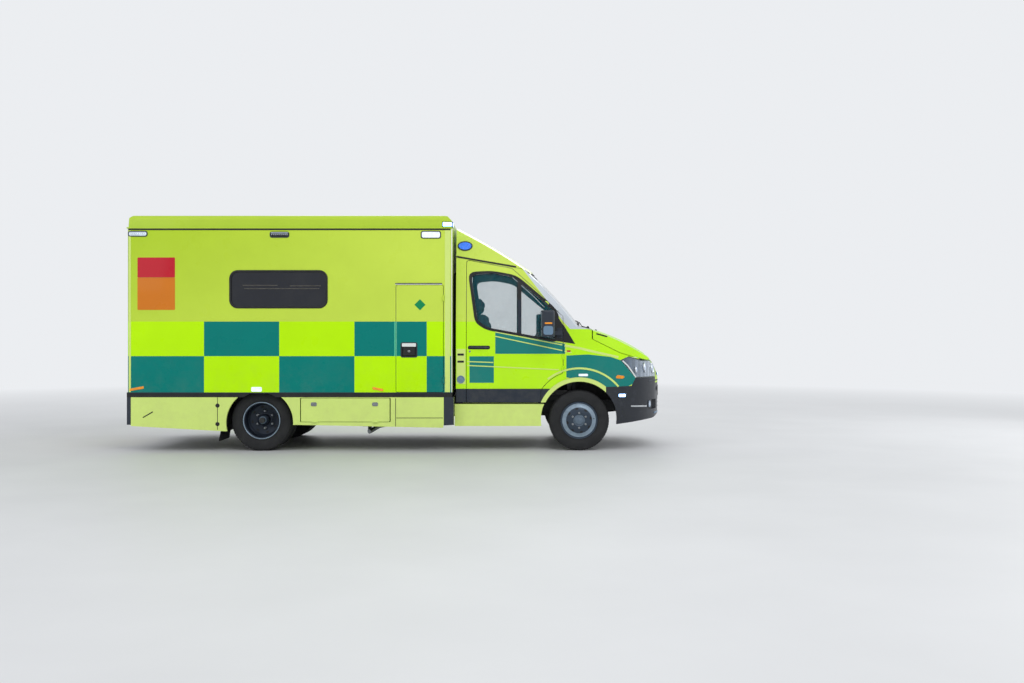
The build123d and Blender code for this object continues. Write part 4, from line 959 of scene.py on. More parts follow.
def side_lamps():
    """Flash lamps high on the sides, markers and a small lamp over the wheel."""
    bezels, clears, darks, whites, ambers, diodes = (Shape() for _ in range(6))
    diode_count = 9
    for side in SIDES.values():
        for lenses, x_low, x_high, z_low, z_high in ((clears, -5.170, -4.945, 2.462, 2.528),
                                                     (darks, -3.548, -3.324, 2.450, 2.520),
                                                     (whites, -1.820, -1.588, 2.440, 2.528)):
            bezels.side_plate(rounded(fx(x_low), fx(x_high), z_low, z_high, 0.026),
                              off_box(side, -0.002, 0.005))
            xs = (fx(x_low) + 0.012, fx(x_high) - 0.012)
            lenses.side_plate(rounded(*xs, z_low + 0.011, z_high - 0.011, 0.018),
                              off_box(side, 0.004, 0.0058))
            for index in range(diode_count):
                step = (x_high - x_low - 0.048) / (diode_count - 1)
                place = (fx(x_low) + 0.024 + step * index, side * (box_half + 0.0047),
                         (z_low + z_high) / 2)
                diodes.turned([(0, 0.0004), (0, 0.0055), (0.0012, 0.004), (0.0016, 0.0004)],
                              place, (0, side, 0), 10)
            if lenses is darks:
                clears.block((xs[0] + 0.004, xs[1] - 0.004), off_box(side, 0.003, 0.0068),
                             (z_high - 0.020, z_high - 0.011))
        for x_low, x_high, z, rise in ((-5.150, -4.990, 0.694, 0.030),
                                       (-2.370, -2.250, 0.716, -0.024)):
            outline = ahead([(x_low, z), (x_high, z + rise), (x_high, z + rise + 0.028),
                             (x_low, z + 0.028)])
            ambers.side_plate(outline, off_box(side, -0.002, 0.0052))
        whites.side_plate(rounded(fx(-3.758), fx(-3.638), 0.688, 0.742, 0.014),
                          off_box(side, -0.002, 0.0054))
    bezels.make("side_lamp_bezels", "plastic", bevel=0.002, stands_for=("side_lamps",))
    clears.make("side_lamp_rear_lenses", "pale_lens", bevel=0.0012)
    darks.make("side_lamp_mid_lenses", "gloss_black", bevel=0.0012)
    whites.make("side_lamp_clear_lenses", "white_lens", bevel=0.0012)
    ambers.make("side_markers", "amber", bevel=0.002)
    diodes.make("side_lamp_diodes", "white_lens")


def skirt_trim():
    """Bolts, catches, joint lines and the slot of the skirts, and the dark front posts."""
    bolts, lines, posts, catches = Shape(), Shape(), Shape(), Shape()
    skirt_face = box_half - 0.002
    for side in SIDES.values():
        for z in (0.530, 0.318):
            bolts.stud([(0, 0.024), (0.003, 0.024), (0.006, 0.015)],
                       (fx(-4.146), side * (skirt_face - 0.001), z), (0, side, 0), 24, 0.007)
        ys = across(side, skirt_face - 0.002, skirt_face + 0.0016)
        lines.block((fx(-4.149), fx(-4.143)), ys, (0.252, rail_low - 0.002))
        for path, width in (([(-5.0, 0.392), (-4.887, 0.458)], 0.012),
                            ([(-2.108, 0.612), (-2.108, 0.292)], 0.006),
                            ([(-2.101, 0.388), (-1.566, 0.388)], 0.006)):
            lines.side_plate(band(ahead(path), width), ys)
        posts.side_plate(ahead([(-1.557, 0.301), (-1.441, 0.309), (-1.441, 0.6255),
                                (-1.557, 0.6255)]),
                         across(side, skirt_face - 0.03, skirt_face + 0.004))
    for x in (fx(-3.044), fx(-2.343)):
        catches.side_plate(rounded(x - 0.034, x + 0.034, 0.522, 0.566, 0.014),
                           (-skirt_face - 0.004, -skirt_face + 0.001))
        catches.side_plate(rounded(x - 0.024, x + 0.024, 0.530, 0.546, 0.006),
                           (-skirt_face - 0.009, -skirt_face - 0.003))
    bolts.make("skirt_bolts", "rubber", smooth=30)
    lines.make("skirt_joint_lines", "rubber")
    posts.make("skirt_front_posts", "plastic", bevel=0.004)
    catches.make("flap_catches", "steel", "skirt_flap", bevel=0.002)


box_strips()
side_window()
locker_trim()
side_panel()
side_lamps()
skirt_trim()

# Cab trim, laid on the skin of the side it belongs to
cab_skins = {name: skin(f"cab_door_{name}", "cab_sides", "front_wings", "cab_roof", "headlamps",
                        "front_bumper", "bonnet") for name in SIDES}
door_glass_outline = ahead([
    (-1.249, 2.033), (-1.000, 2.055), (-0.753, 2.006), (-0.568, 1.847), (-0.315, 1.641),
    (-0.262, 1.556), (-0.262, 1.280), (-1.064, 1.424), (-1.174, 1.501)])
black_outline = ahead([
    (-1.286, 2.068), (-1.000, 2.082), (-0.725, 2.030), (-0.555, 1.888), (-0.292, 1.664),
    (-0.236, 1.574), (-0.236, 1.246), (-1.078, 1.396), (-1.204, 1.480)])


def ring_between(shape, inner, outer, tree, side):
    """Flat ring between two outlines of as many points, laid on a skin of the side view."""
    step, lift = 0.03, 0.0035
    points = []
    last = side * 0.95
    for index in range(len(inner)):
        after = (index + 1) % len(inner)
        cuts = max(1, int((Vector(outer[after]) - Vector(outer[index])).length / step))
        for cut in range(cuts):
            near, far = (Vector(line[index]).lerp(Vector(line[after]), cut / cuts)
                         for line in (inner, outer))
            beyond = far * 2 - near
            near_seat, far_seat, further = (skin_depth(tree, place.x, place.y, side)
                                            for place in (near, far, beyond))
            known = [seat for seat in (near_seat, far_seat) if seat is not None]
            last = known[-1] if known else last
            if near_seat is None and far_seat is not None and further is not None:
                near_seat = 2 * far_seat - further
            near_seat, far_seat = (last if seat is None else seat for seat in (near_seat, far_seat))
            for place, seat, rise in ((near, near_seat, -0.006), (near, near_seat, lift * 0.8),
                                      (far, far_seat, lift), (far, far_seat, -0.003)):
                points.append((place.x, seat + side * rise, place.y))
    shape.add(points, walls(len(points) // 4, 4, True))


def on_side(tree, side, x, z):
    """Place on the outside of a skin at a point of the side view."""
    return (fx(x), skin_depth(tree, fx(x), z, side), z)


def cab_door_trim():
    """Window band, posts, creases, handle and lock of the cab doors."""
    creases = (((-0.969, 1.372), (-0.196, 1.222)), ((-0.969, 1.322), (-0.196, 1.158)),
               ((-1.293, 1.031), (-0.990, 1.020)), ((-1.293, 0.986), (-0.236, 0.936)))
    for side_name, side in SIDES.items():
        tree = cab_skins[side_name]
        door = f"cab_door_{side_name}"
        window_band = Shape()
        ring_between(window_band, eased(door_glass_outline, 0.07), eased(black_outline, 0.09), tree,
                     side)
        window_band.make(f"door_window_band_{side_name}", "gloss_black", door, smooth=35)
        for name, colour, body, lifts, outline in (
                ("door_window_post", "rubber", door, (-0.01, 0.003),
                 [(-0.712, 1.352), (-0.667, 1.342), (-0.667, 1.945), (-0.712, 1.985)]),
                ("door_black_corner", "gloss_black", door, (-0.003, 0.0028),
                 [(-0.285, 1.590), (-0.285, 1.274), (-0.196, 1.260), (-0.196, 1.462)]),
                ("pillar_black_corner", "gloss_black", "root", (-0.003, 0.0028),
                 [(-0.182, 1.455), (-0.182, 1.258), (-0.050, 1.236)])):
            patch(f"{name}_{side_name}", colour, tree, [ahead(outline)], side, lifts, body=body)
        # The crease strips are pale lime: partly the bare paint where the film is cut round each
        # crease, and partly a painted highlight along it, which makes them paler than the body
        patch(f"door_creases_{side_name}", "skirt", tree,
              [band(fine_path(ahead(ends), 0.1), 0.012) for ends in creases], side, body=door,
              cell=0.1, bevel=0.002, segments=3)
        patch(f"door_handle_pocket_{side_name}", "rubber", tree,
              [rounded(fx(-1.284), fx(-1.030), 1.172, 1.214, 0.018)], side, (-0.002, 0.002),
              body=door)
        ends = ahead([(-1.272, 1.196), (-1.044, 1.192)])
        path = seated(tree, fine_path(ends, 0.03), side, "side", 0.004)
        for place in path[1:-1]:
            place.y += side * 0.012
        Shape().tube(path, 0.011, 10, flat=0.6).make(f"door_handle_{side_name}", "plastic", door)
        Shape().stud([(0, 0.011), (0.003, 0.011), (0.004, 0.008)],
                     on_side(tree, side, -1.262, 1.148), (0, side, 0), 20).make(
            f"door_lock_{side_name}", "steel", door)


def rear_pillar_trim():
    """Pale plate, two guides and the filler cap behind the cab door."""
    for side_name, side in SIDES.items():
        tree = cab_skins[side_name]
        patch(f"pillar_plate_{side_name}", "skirt", tree,
              [ahead(rectangle(-1.416, -1.312, 0.772, 1.176))], side, (-0.003, 0.003), bevel=0.002)
        patch(f"pillar_guides_{side_name}", "rubber", tree,
              [rounded(fx(-1.404), fx(-1.330), z - 0.012, z + 0.012, 0.006, 3)
               for z in (1.112, 1.030)], side, (0.001, 0.006), bevel=0.001)
        Shape().stud([(-0.004, 0.045), (0.007, 0.045), (0.010, 0.040), (0.008, 0.034),
                      (0.005, 0.030), (0.010, 0.012)],
                     on_side(tree, side, -1.366, 0.825), (0, side, 0), 32, 0.011).make(
            f"pillar_cap_{side_name}", "blue_grey", smooth=35)


def wing_trim():
    """Flare line over the arch, creases, repeater and small marks of the front wings."""
    for side_name, side in SIDES.items():
        tree = cab_skins[side_name]
        patch(f"arch_flare_{side_name}", "skirt", tree,
              [band(arc((front_axle, arch_z), 0.589, 128, 40, 24), 0.022)], side,
              (-0.002, 0.0045), cell=0.1, bevel=0.003, segments=3)
        crease = [(-0.170, 1.216), (0.000, 1.186), (0.160, 1.146), (0.330, 1.108), (0.450, 1.082)]
        patch(f"wing_crease_{side_name}", "skirt", tree,
              [band(ahead(crease), 0.026), band(ahead([(-0.170, 1.150), (-0.090, 1.134)]), 0.012)],
              side, (-0.002, 0.0025), cell=0.1, bevel=0.001)
        repeater = [(0.418, 0.852), (0.440, 0.876), (0.512, 0.866), (0.522, 0.850),
                    (0.500, 0.834), (0.430, 0.836)]
        for name, colour, outline, lift, bevel in (
                ("wing_repeater", "amber", ahead(repeater), 0.008, 0.003),
                ("wing_red_mark", "red",
                 rounded(fx(-0.146), fx(-0.100), 1.142, 1.162, 0.008, 4), 0.004, 0.002),
                ("arch_white_lamp", "white_lens",
                 rounded(fx(-0.010), fx(0.100), 0.862, 0.890, 0.012, 4), 0.005, 0.002)):
            patch(f"{name}_{side_name}", colour, tree, [outline], side, (-0.003, lift), bevel=bevel)


def fairing_lamps():
    """Oval blue lamps on the sides of the roof fairing."""
    centre = (fx(-1.322), 2.372)
    for side_name, side in SIDES.items():
        tree = cab_skins[side_name]
        patch(f"fairing_lamp_rim_{side_name}", "plastic", tree, [oval(centre, 0.088, 0.057)], side,
              (-0.004, 0.008), bevel=0.004)
        patch(f"fairing_lamp_lens_{side_name}", "blue", tree, [oval(centre, 0.074, 0.044)], side,
              (0.004, 0.016), bevel=0.006, segments=4)


cab_door_trim()
rear_pillar_trim()
wing_trim()
fairing_lamps()

# Windscreen surround, wipers, air grille under the screen
front_skin = skin("windscreen", "cab_sides", "cab_roof", "scuttle")
nose_skin = skin("front_bumper", "grille", "headlamps", "bonnet", "front_wings")
screen_corners = [(-0.790, 1.456), (-0.690, 2.058), (0.690, 2.058), (0.790, 1.456)]
FORWARD = (1, 0, 0)
BACKWARD = (-1, 0, 0)
UPWARD = (0, 0, 1)


def even(low, high, count):
    """As many places as asked for, evenly from low to high."""
    return [low + (high - low) * index / (count - 1) for index in range(count)]


def screen_trim():
    """Seal of the windscreen, the two wipers and the slats at its foot."""
    arm_share = 0.52  # where the arm meets the blade, along the blade
    slat_count = 44
    outline = fine_path(eased(screen_corners, 0.06), 0.06, closed=True)
    Shape().tube(seated(front_skin, outline), 0.010, closed=True, flat=0.6, up=FORWARD).make(
        "screen_seal", "rubber")
    for name, pivot, tip_low, tip_high in (
            ("left", (0.70, 1.425), (0.745, 1.520), (0.120, 1.470)),
            ("right", (-0.02, 1.425), (0.030, 1.515), (-0.600, 1.468))):
        blade, arm = Shape(), Shape()
        for lift, radius, flat in ((0.010, 0.0055, 1.6), (0.021, 0.0045, 1.0)):
            blade.tube(seated(front_skin, fine_path([tip_low, tip_high]), lift=lift), radius, 6,
                       flat=flat, up=FORWARD)
        arm_end = tuple(Vector(tip_low).lerp(Vector(tip_high), arm_share))
        arm_path = seated(front_skin, fine_path([pivot, arm_end], 0.04), lift=0.030)
        arm.tube(arm_path, 0.008, flat=0.5, up=FORWARD)
        arm.stud([(-0.02, 0.018), (0.020, 0.016), (0.024, 0.010)], arm_path[0], (1, 0, 1), 20)
        blade.make(f"wiper_blade_{name}", "rubber")
        arm.make(f"wiper_arm_{name}", "gloss_black")
    low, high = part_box("scuttle")
    patch("scuttle_slats", "rubber", skin("scuttle"),
          [rectangle(low[0] + 0.030, high[0] - 0.030, y - 0.006, y + 0.006)
           for y in even(low[1] + 0.05, high[1] - 0.05, slat_count)], 1, (-0.002, 0.004), "top",
          cell=0.1)


def bonnet_trim():
    """Ridges, jets and slots of the bonnet, and the edge line of the headlamps."""
    bonnet_skin = skin("bonnet")
    slot_skin = skin("bonnet", "front_wings", "cab_sides")
    for side_name, side in SIDES.items():
        path = [(fx(x), side * y)
                for x, y in ((0.235, 0.640), (0.45, 0.600), (0.65, 0.530), (0.80, 0.455))]
        ridge = seated(bonnet_skin, fine_path(path, 0.04), 1, "top", -0.006)
        Shape().tube(ridge, 0.017, flat=0.55, up=UPWARD).make(
            f"bonnet_ridge_{side_name}", "bonnet", "bonnet", smooth=60)
        place = skin_point(bonnet_skin, fx(0.245), side * 0.28, 1, "top")
        Shape().stud([(-0.004, 0.016), (0.004, 0.014), (0.010, 0.007)], place, UPWARD, 16,
                     0.011).make(f"bonnet_jet_{side_name}", "rubber", "bonnet")
        patch(f"bonnet_slot_{side_name}", "rubber", slot_skin,
              [band(ahead([(0.196, 1.352), (0.322, 1.318)]), 0.016)], side, (-0.002, 0.002),
              body="bonnet")
        edge = [(0.500, 1.040), (0.560, 0.985), (0.640, 0.876), (0.660, 0.846)]
        patch(f"lamp_edge_{side_name}", "bare_white", cab_skins[side_name],
              [band(ahead(edge), 0.014)], side, (-0.002, 0.002))


def headlamp_trim():
    """Shrunken inside of each headlamp, with rings and projectors."""
    shell = 0.016
    core = bmesh.new()
    core.from_mesh(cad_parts["headlamps"].data)
    bmesh.ops.remove_doubles(core, verts=core.verts, dist=0.0003)
    bmesh.ops.recalc_face_normals(core, faces=core.faces)
    core.normal_update()
    inside = Shape().add([v.co - v.normal * shell for v in core.verts],
                         [[v.index for v in face.verts] for face in core.faces])
    core.free()
    inside.make("headlamp_insides", "lamp_core", smooth=30)
    lamp_skin = skin("headlamps")
    rings, bowls = Shape(), Shape()
    for side in SIDES.values():
        for y, z, radius in ((0.665, 0.945, 0.062), (0.815, 0.960, 0.058), (0.905, 0.935, 0.040)):
            place = skin_point(lamp_skin, side * y, z, 1, "front") - Vector((0.014, 0, 0))
            way = (1, side * 0.35, 0.1)
            rings.turned([(-0.008, radius - 0.006), (-0.008, radius), (0.002, radius),
                          (0.004, radius - 0.004), (0.0, radius - 0.010)], place, way, 36, True)
            bowls.turned([(-0.004, ON_LINE + radius * 0.80), (0.002, radius * 0.74),
                          (0.007, radius * 0.5), (0.009, ON_LINE)], place, way, 36)
    rings.make("headlamp_rings", "chrome", smooth=50)
    bowls.make("headlamp_projectors", "projector", smooth=60)


def nose_bar(shape, half, z, radius, flat, step=0.06, lift=0.0):
    """Level bar across the nose."""
    path = seated(nose_skin, fine_path([(-half, z), (half, z)], step), lift=lift)
    return shape.tube(path, radius, flat=flat, up=FORWARD)


def bumper_trim():
    """Grille and bumper fittings, and the blank front plate."""
    low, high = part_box("grille")
    strips = Shape()
    for z in (low[2] + 0.022, high[2] - 0.026):
        nose_bar(strips, 0.50, z, 0.006, 0.8, 0.05)
    strips.make("grille_strips", "chrome", smooth=60)
    housings, lamps = Shape(), Shape()
    for y, z in ((-0.290, 0.870), (0.290, 0.870)):
        housings.drape(rounded(y - 0.055, y + 0.055, z - 0.023, z + 0.023, 0.01, 4), nose_skin, 1,
                       -0.004, 0.012, 0.1, "front")
        lamps.drape(rounded(y - 0.048, y + 0.048, z - 0.016, z + 0.016, 0.007, 4), nose_skin, 1,
                    0.009, 0.015, 0.1, "front")
    for side_name, side in SIDES.items():
        housings.drape(rounded(fx(0.448), fx(0.540), 0.618, 0.664, 0.012, 4),
                       cab_skins[side_name], side, -0.004, 0.010)
        lamps.drape(rounded(fx(0.454), fx(0.534), 0.624, 0.658, 0.009, 4),
                    cab_skins[side_name], side, 0.008, 0.013)
    housings.make("bumper_lamp_housings", "rubber", bevel=0.002)
    lamps.make("bumper_flash_lamps", "flash", bevel=0.002)
    for side_name, side in SIDES.items():
        patch(f"bumper_strip_{side_name}", "chrome", cab_skins[side_name],
              [band(ahead([(0.600, 0.516), (0.800, 0.506)]), 0.016)], side, (-0.003, 0.003),
              cell=0.03, bevel=0.001)
    nose_bar(Shape(), 0.66, 0.420, 0.010, 0.7).make("bumper_lower_strip", "blue_grey", smooth=60)
    nose_bar(Shape(), 0.78, 0.800, 0.010, 0.6, lift=-0.003).make(
        "bumper_top_ridge", "plastic", smooth=60)
    fogs = Shape()
    for side in SIDES.values():
        fogs.stud([(-0.002, 0.042), (0.010, 0.042), (0.012, 0.036), (0.016, 0.024)],
                  skin_point(nose_skin, side * 0.68, 0.525, 1, "front"), (1, side * 0.2, 0), 32,
                  0.018)
    fogs.make("fog_lamps", "projector", smooth=50)
    patch("plate_front_holder", "rubber", nose_skin,
          [rounded(-0.270, 0.270, 0.604, 0.730, 0.01, 3)], 1, (-0.003, 0.004), "front", cell=0.06,
          bevel=0.001)
    patch("plate_front", "plate_white", nose_skin,
          [rounded(-0.260, 0.260, 0.6115, 0.7225, 0.008, 3)], 1, (0.003, 0.006), "front",
          cell=0.06)
    Shape().stud([(-0.002, 0.028), (0.002, 0.028)],
                 skin_point(nose_skin, -0.50, 0.70, 1, "front"), FORWARD, 28).make(
        "tow_eye_cap", "plastic", smooth=30)


def mirror_trim():
    """Two glasses, amber repeater and foot of each door mirror."""
    for side_name, side in SIDES.items():
        low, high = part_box(f"door_mirror_{side_name}")
        shell = skin(f"door_mirror_{side_name}")
        tip = side * max(abs(low[1]), abs(high[1]))
        ys = sorted((tip - side * 0.018, tip - side * 0.150))
        door = f"cab_door_{side_name}"
        for name, zs in (("main", (low[2] + 0.110, high[2] - 0.018)),
                         ("wide", (low[2] + 0.020, low[2] + 0.098))):
            patch(f"mirror_glass_{name}_{side_name}", "mirror", shell, [rounded(*ys, *zs, 0.016)],
                  -1, (-0.002, 0.003), "front", door, 0.2, bevel=0.001)
        patch(f"mirror_repeater_{side_name}", "amber", shell,
              [rounded(low[0] + 0.045, low[0] + 0.130, 1.462, 1.480, 0.006, 3)], side,
              body=door, cell=0.03, bevel=0.001)
        foot = rounded(low[0] + 0.030, low[0] + 0.140, low[2] + 0.040, low[2] + 0.140, 0.026, 4)
        patch(f"mirror_foot_{side_name}", "blue_grey", shell, [foot], side, (-0.002, 0.0025),
              body=door, cell=0.03, bevel=0.001)


def wheel_looks():
    """Dark hand holes and the valve of each rim."""
    hole_count = 8
    for side_name, side in SIDES.items():
        for place, rim, body, hub, ring in (
                ("front", "front_rim", "front_wheel", front_hub, 0.136),
                ("rear", "rear_rims", "rear_wheels", rear_hub, 0.148)):
            tree = skin(f"{rim}_{side_name}")
            body = f"{body}_{side_name}"
            outlines = []
            for index in range(hole_count):
                angle = 2 * math.pi * (index + 0.25) / hole_count
                x, z = polar(hub, ring, angle)
                sine, cosine = math.sin(angle), math.cos(angle)
                outlines.append([(x - along * sine + out * cosine, z + along * cosine + out * sine)
                                 for along, out in oval((0, 0), 0.019, 0.012, 12)])
            patch(f"rim_holes_{place}_{side_name}", "rubber", tree, outlines, side,
                  (-0.004, 0.0008), body=body, cell=0.2)
            foot = skin_point(tree, hub[0] + 0.176, axle_z + 0.02, side)
            path = [foot + Vector((x, side * y, 0))
                    for x, y in ((0, 0), (-0.006, 0.016), (-0.014, 0.030))]
            Shape().tube(path, 0.0035, up=UPWARD).make(f"valve_{place}_{side_name}", "rubber", body)


def roof_trim():
    """Corner flash lamps, joint beads, and a dark strip under the fairing's edge as a painted
    shadow.
    """
    lamps, shells = Shape(), Shape()
    corner = ((fx(-1.575), 1.046), (fx(-1.575), 1.0588), (box_front + 0.002, 1.0588),
              (box_front + 0.0058, 1.050), (box_front + 0.0058, 0.900),
              (box_front - 0.004, 0.900), (box_front - 0.004, 1.046))
    zs = (2.582, 2.628)
    for side in SIDES.values():
        shells.prism(*([(x, y * side, z) for x, y in corner] for z in (2.5745, 2.6355)))
        lamps.block((fx(-1.568), box_front - 0.006), across(side, 1.050, 1.0605), zs)
        lamps.block((box_front, box_front + 0.0072), across(side, 0.910, 1.044), zs)
    shells.make("roof_corner_lamp_shells", "rubber", bevel=0.002)
    lamps.make("roof_corner_lamp_lenses", "flash", bevel=0.003)
    joints = Shape()
    for x in (fx(-4.0), fx(-2.8)):
        joints.tube([(x, y, roof_top - 0.0012) for y in (-0.99, -0.5, 0, 0.5, 0.99)], 0.006, 6,
                    flat=0.2, up=UPWARD)
    joints.make("roof_joint_beads", "roof", smooth=60)
    # Painted shadow: a dark rubber strip along the fairing's lower edge stands for the shade in the
    # gap under it
    edge = fine_path(ahead([(-1.420, 2.2475), (-0.655, 2.113), (-0.570, 2.052)]), 0.08)
    for side_name, side in SIDES.items():
        patch(f"fairing_edge_shadow_{side_name}", "rubber", cab_skins[side_name],
              [band(edge, 0.020)], side, cell=0.06, bevel=0.001)


screen_trim()
bonnet_trim()
headlamp_trim()
bumper_trim()
mirror_trim()
wheel_looks()
roof_trim()


def plate_behind(shape, ys, zs, corner, tree, lifts=(-0.002, 0.004), count=4):
    """Round-cornered plate on what is seen from behind, which is side -1 of the front view."""
    shape.drape(rounded(*ys, *zs, corner, count), tree, -1, *lifts, 0.2, "front")


def rear_door_trim():
    """Window seal, handle and buffers of each rear door."""
    lever = ((0.004, 0.070, 1.300), (0.026, 0.074, 1.306), (0.030, 0.105, 1.345),
             (0.026, 0.138, 1.382), (0.004, 0.142, 1.388))
    for side_name, side in SIDES.items():
        door = f"rear_door_{side_name}"
        low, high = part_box(f"rear_glass_{side_name}")
        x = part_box(door)[0][0] + 0.0005
        outline = rounded(low[1] + 0.004, high[1] - 0.004, low[2] + 0.004, high[2] - 0.004, 0.06)
        Shape().tube([(x, y, z) for y, z in outline], 0.012, closed=True, flat=0.5,
                     up=FORWARD).make(f"rear_window_seal_{side_name}", "rubber", door)
        outline = [(side * y, z) for y, z in rounded(0.045, 0.165, 1.250, 1.420, 0.022, 4)]
        patch(f"rear_handle_plate_{side_name}", "rubber", skin(door), [outline], -1,
              (-0.002, 0.006), "front", door, 0.2, bevel=0.002)
        Shape().tube([(x - reach, side * y, z) for reach, y, z in lever], 0.009, 10, flat=0.8,
                     up=FORWARD).make(f"rear_handle_{side_name}", "chrome", door, smooth=60)
        catch = Shape()
        for z in (0.86, 2.24):
            catch.block((x - 0.012, x + 0.002), across(side, 0.62, 0.66), (z - 0.02, z + 0.02))
        catch.make(f"rear_door_buffers_{side_name}", "rubber", door, bevel=0.003)


def rear_lamps():
    """Drip rail and high lamps of the rear frame, and the lenses of the tail lamps."""
    rear_skin = skin("box_rear_frame", "rear_door_left", "rear_door_right", "rear_glass_left",
                     "rear_glass_right", "box_roof")
    patch("rear_drip_rail", "plastic", rear_skin, [rectangle(-0.74, 0.74, 2.442, 2.452)], -1,
          (-0.002, 0.012), "front", cell=0.5, bevel=0.002)
    for name, colour, reach in (("blue", "blue", 0.90), ("red", "red", 0.64),
                                ("clear", "white_lens", 0.24)):
        lamps, bezels = Shape(), Shape()
        for y in (-reach, reach):
            plate_behind(bezels, (y - 0.080, y + 0.080), (2.466, 2.536), 0.014, rear_skin)
            plate_behind(lamps, (y - 0.070, y + 0.070), (2.476, 2.526), 0.010, rear_skin,
                       (0.003, 0.006))
        bezels.make(f"rear_high_bezels_{name}", "plastic", bevel=0.001)
        lamps.make(f"rear_high_lamps_{name}", colour, bevel=0.001)
    low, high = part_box("tail_lamps")
    for index, (z, colour) in enumerate(((0.860, "white_lens"), (1.000, "amber"), (1.140, "red"))):
        lenses, rings = Shape(), Shape()
        for side in SIDES.values():
            place = (low[0], side * (high[1] - 0.052), z)
            rings.turned([(-0.006, 0.0515), (-0.006, 0.056), (0.001, 0.056), (0.003, 0.052),
                          (0.001, 0.047)], place, BACKWARD, 36, True)
            lenses.turned([(-0.001, 0.0480), (0.002, 0.047), (0.0035, 0.038), (0.002, 0.036),
                           (0.0045, 0.026), (0.003, 0.024), (0.0052, 0.012),
                           (0.0055, ON_LINE)], place, BACKWARD, 36)
        rings.make(f"tail_lamp_rings_{index}", "gloss_black", smooth=50)
        lenses.make(f"tail_lamp_lenses_{index}", colour, smooth=25)


def rear_step_trim():
    """Ribs, blank plate, reflectors and parking sensors of the rear step."""
    step_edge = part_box("rear_bumper")[0][0]
    step_skin = skin("rear_bumper")
    rib_count = 26
    patch("rear_step_ribs", "rubber", step_skin,
          [rectangle(step_edge + 0.012, step_edge + 0.040, y - 0.010, y + 0.010)
           for y in even(-0.62, 0.62, rib_count)], 1, (-0.002, 0.003), "top", cell=0.2,
          bevel=0.001)
    patch("plate_rear", "plate_yellow", step_skin,
          [rounded(-0.260, 0.260, 0.335, 0.446, 0.008, 3)], -1, view="front", cell=0.2)
    reflectors, sensors = Shape(), Shape()
    for side in SIDES.values():
        plate_behind(reflectors, across(side, 0.930, 1.040), (0.400, 0.430), 0.006, step_skin,
                   count=3)
        for y in (0.42, 0.80):
            sensors.stud([(-0.002, 0.012), (0.002, 0.012), (0.003, 0.009)],
                         skin_point(step_skin, side * y, 0.52, -1, "front"), BACKWARD, 20)
    reflectors.make("rear_reflectors", "red", bevel=0.001)
    sensors.make("parking_sensors", "plastic", smooth=40)


def under_trim():
    """Ribs and tails of the mud flaps, and the pipe at the right side with its hanger."""
    flap_skin = skin("mud_flaps")
    patch("mud_flap_ribs", "rubber", flap_skin,
          [rectangle(y - 0.008, y + 0.008, 0.245, 0.560)
           for side in SIDES.values() for y in even(side * 0.62, side * 0.94, 7)], -1,
          (-0.002, 0.004), "front", cell=0.5, bevel=0.002)
    tails = Shape()
    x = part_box("mud_flaps")[0][0]
    for side in SIDES.values():
        ys = across(side, 0.565, 0.995)
        foot, head = rectangle(x - 0.050, x - 0.042, *ys), rectangle(x - 0.008, x, *ys)
        tails.prism([(*place, 0.112) for place in foot], [(*place, 0.330) for place in head])
    tails.make("mud_flap_tails", "rubber", bevel=0.003)
    Shape().block((fx(-2.50), fx(-2.31)), (-1.010, -0.860), (0.285, 0.330)).block(
        (fx(-2.44), fx(-2.40)), (-0.960, -0.910), (0.240, 0.300)).make(
        "side_pipe_hanger", "chassis", bevel=0.006)
    path = ((-2.20, -0.80, 0.300), (-2.32, -0.86, 0.280), (-2.38, -0.93, 0.245),
            (-2.42, -1.00, 0.225))
    Shape().tube([(fx(x), y, z) for x, y, z in path], 0.026, 16, up=UPWARD).make(
        "side_pipe", "steel", smooth=60)


def entry_trim():
    """Handle, drip rail and grab rail of the side entry on the left."""
    low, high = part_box("entry_door")
    plate = rounded(low[0] + 0.050, low[0] + 0.180, 1.120, 1.260, 0.016)
    Shape().side_plate(plate, off_box(1, -0.002, 0.004)).make(
        "entry_handle_plate", "rubber", "entry_door", bevel=0.002)
    path = ((0.070, 0.004, 1.190), (0.072, 0.030, 1.190), (0.115, 0.034, 1.192),
            (0.158, 0.030, 1.190), (0.160, 0.004, 1.190))
    Shape().tube([(low[0] + x, box_half + y, z) for x, y, z in path], 0.008, 10).make(
        "entry_handle", "chrome", "entry_door", smooth=60)
    Shape().block((low[0] - 0.02, high[0] + 0.01), off_box(1, -0.002, 0.009),
                  (high[2] + 0.012, high[2] + 0.021)).make(
        "entry_drip_rail", "plastic", bevel=0.002)
    x = low[0] - 0.075
    path = ((0, 0.98), (0.032, 0.99), (0.036, 1.03), (0.036, 1.30), (0.036, 1.57), (0.032, 1.61),
            (0, 1.62))
    Shape().tube([(x, box_half + y, z) for y, z in path], 0.013, 12, up=FORWARD).make(
        "entry_grab_rail", "yellow", smooth=60)
    feet = Shape()
    for z in (0.98, 1.62):
        feet.stud([(-0.002, 0.030), (0.004, 0.030), (0.008, 0.018)], (x, box_half, z), (0, 1, 0),
                  24)
    feet.make("entry_grab_rail_feet", "steel", smooth=40)


def seat_turn(place, lean):
    """Where a seat's pad stands, and how it leans back, in degrees."""
    return Matrix.Translation(place) @ Matrix.Rotation(math.radians(lean), 4, "Y")


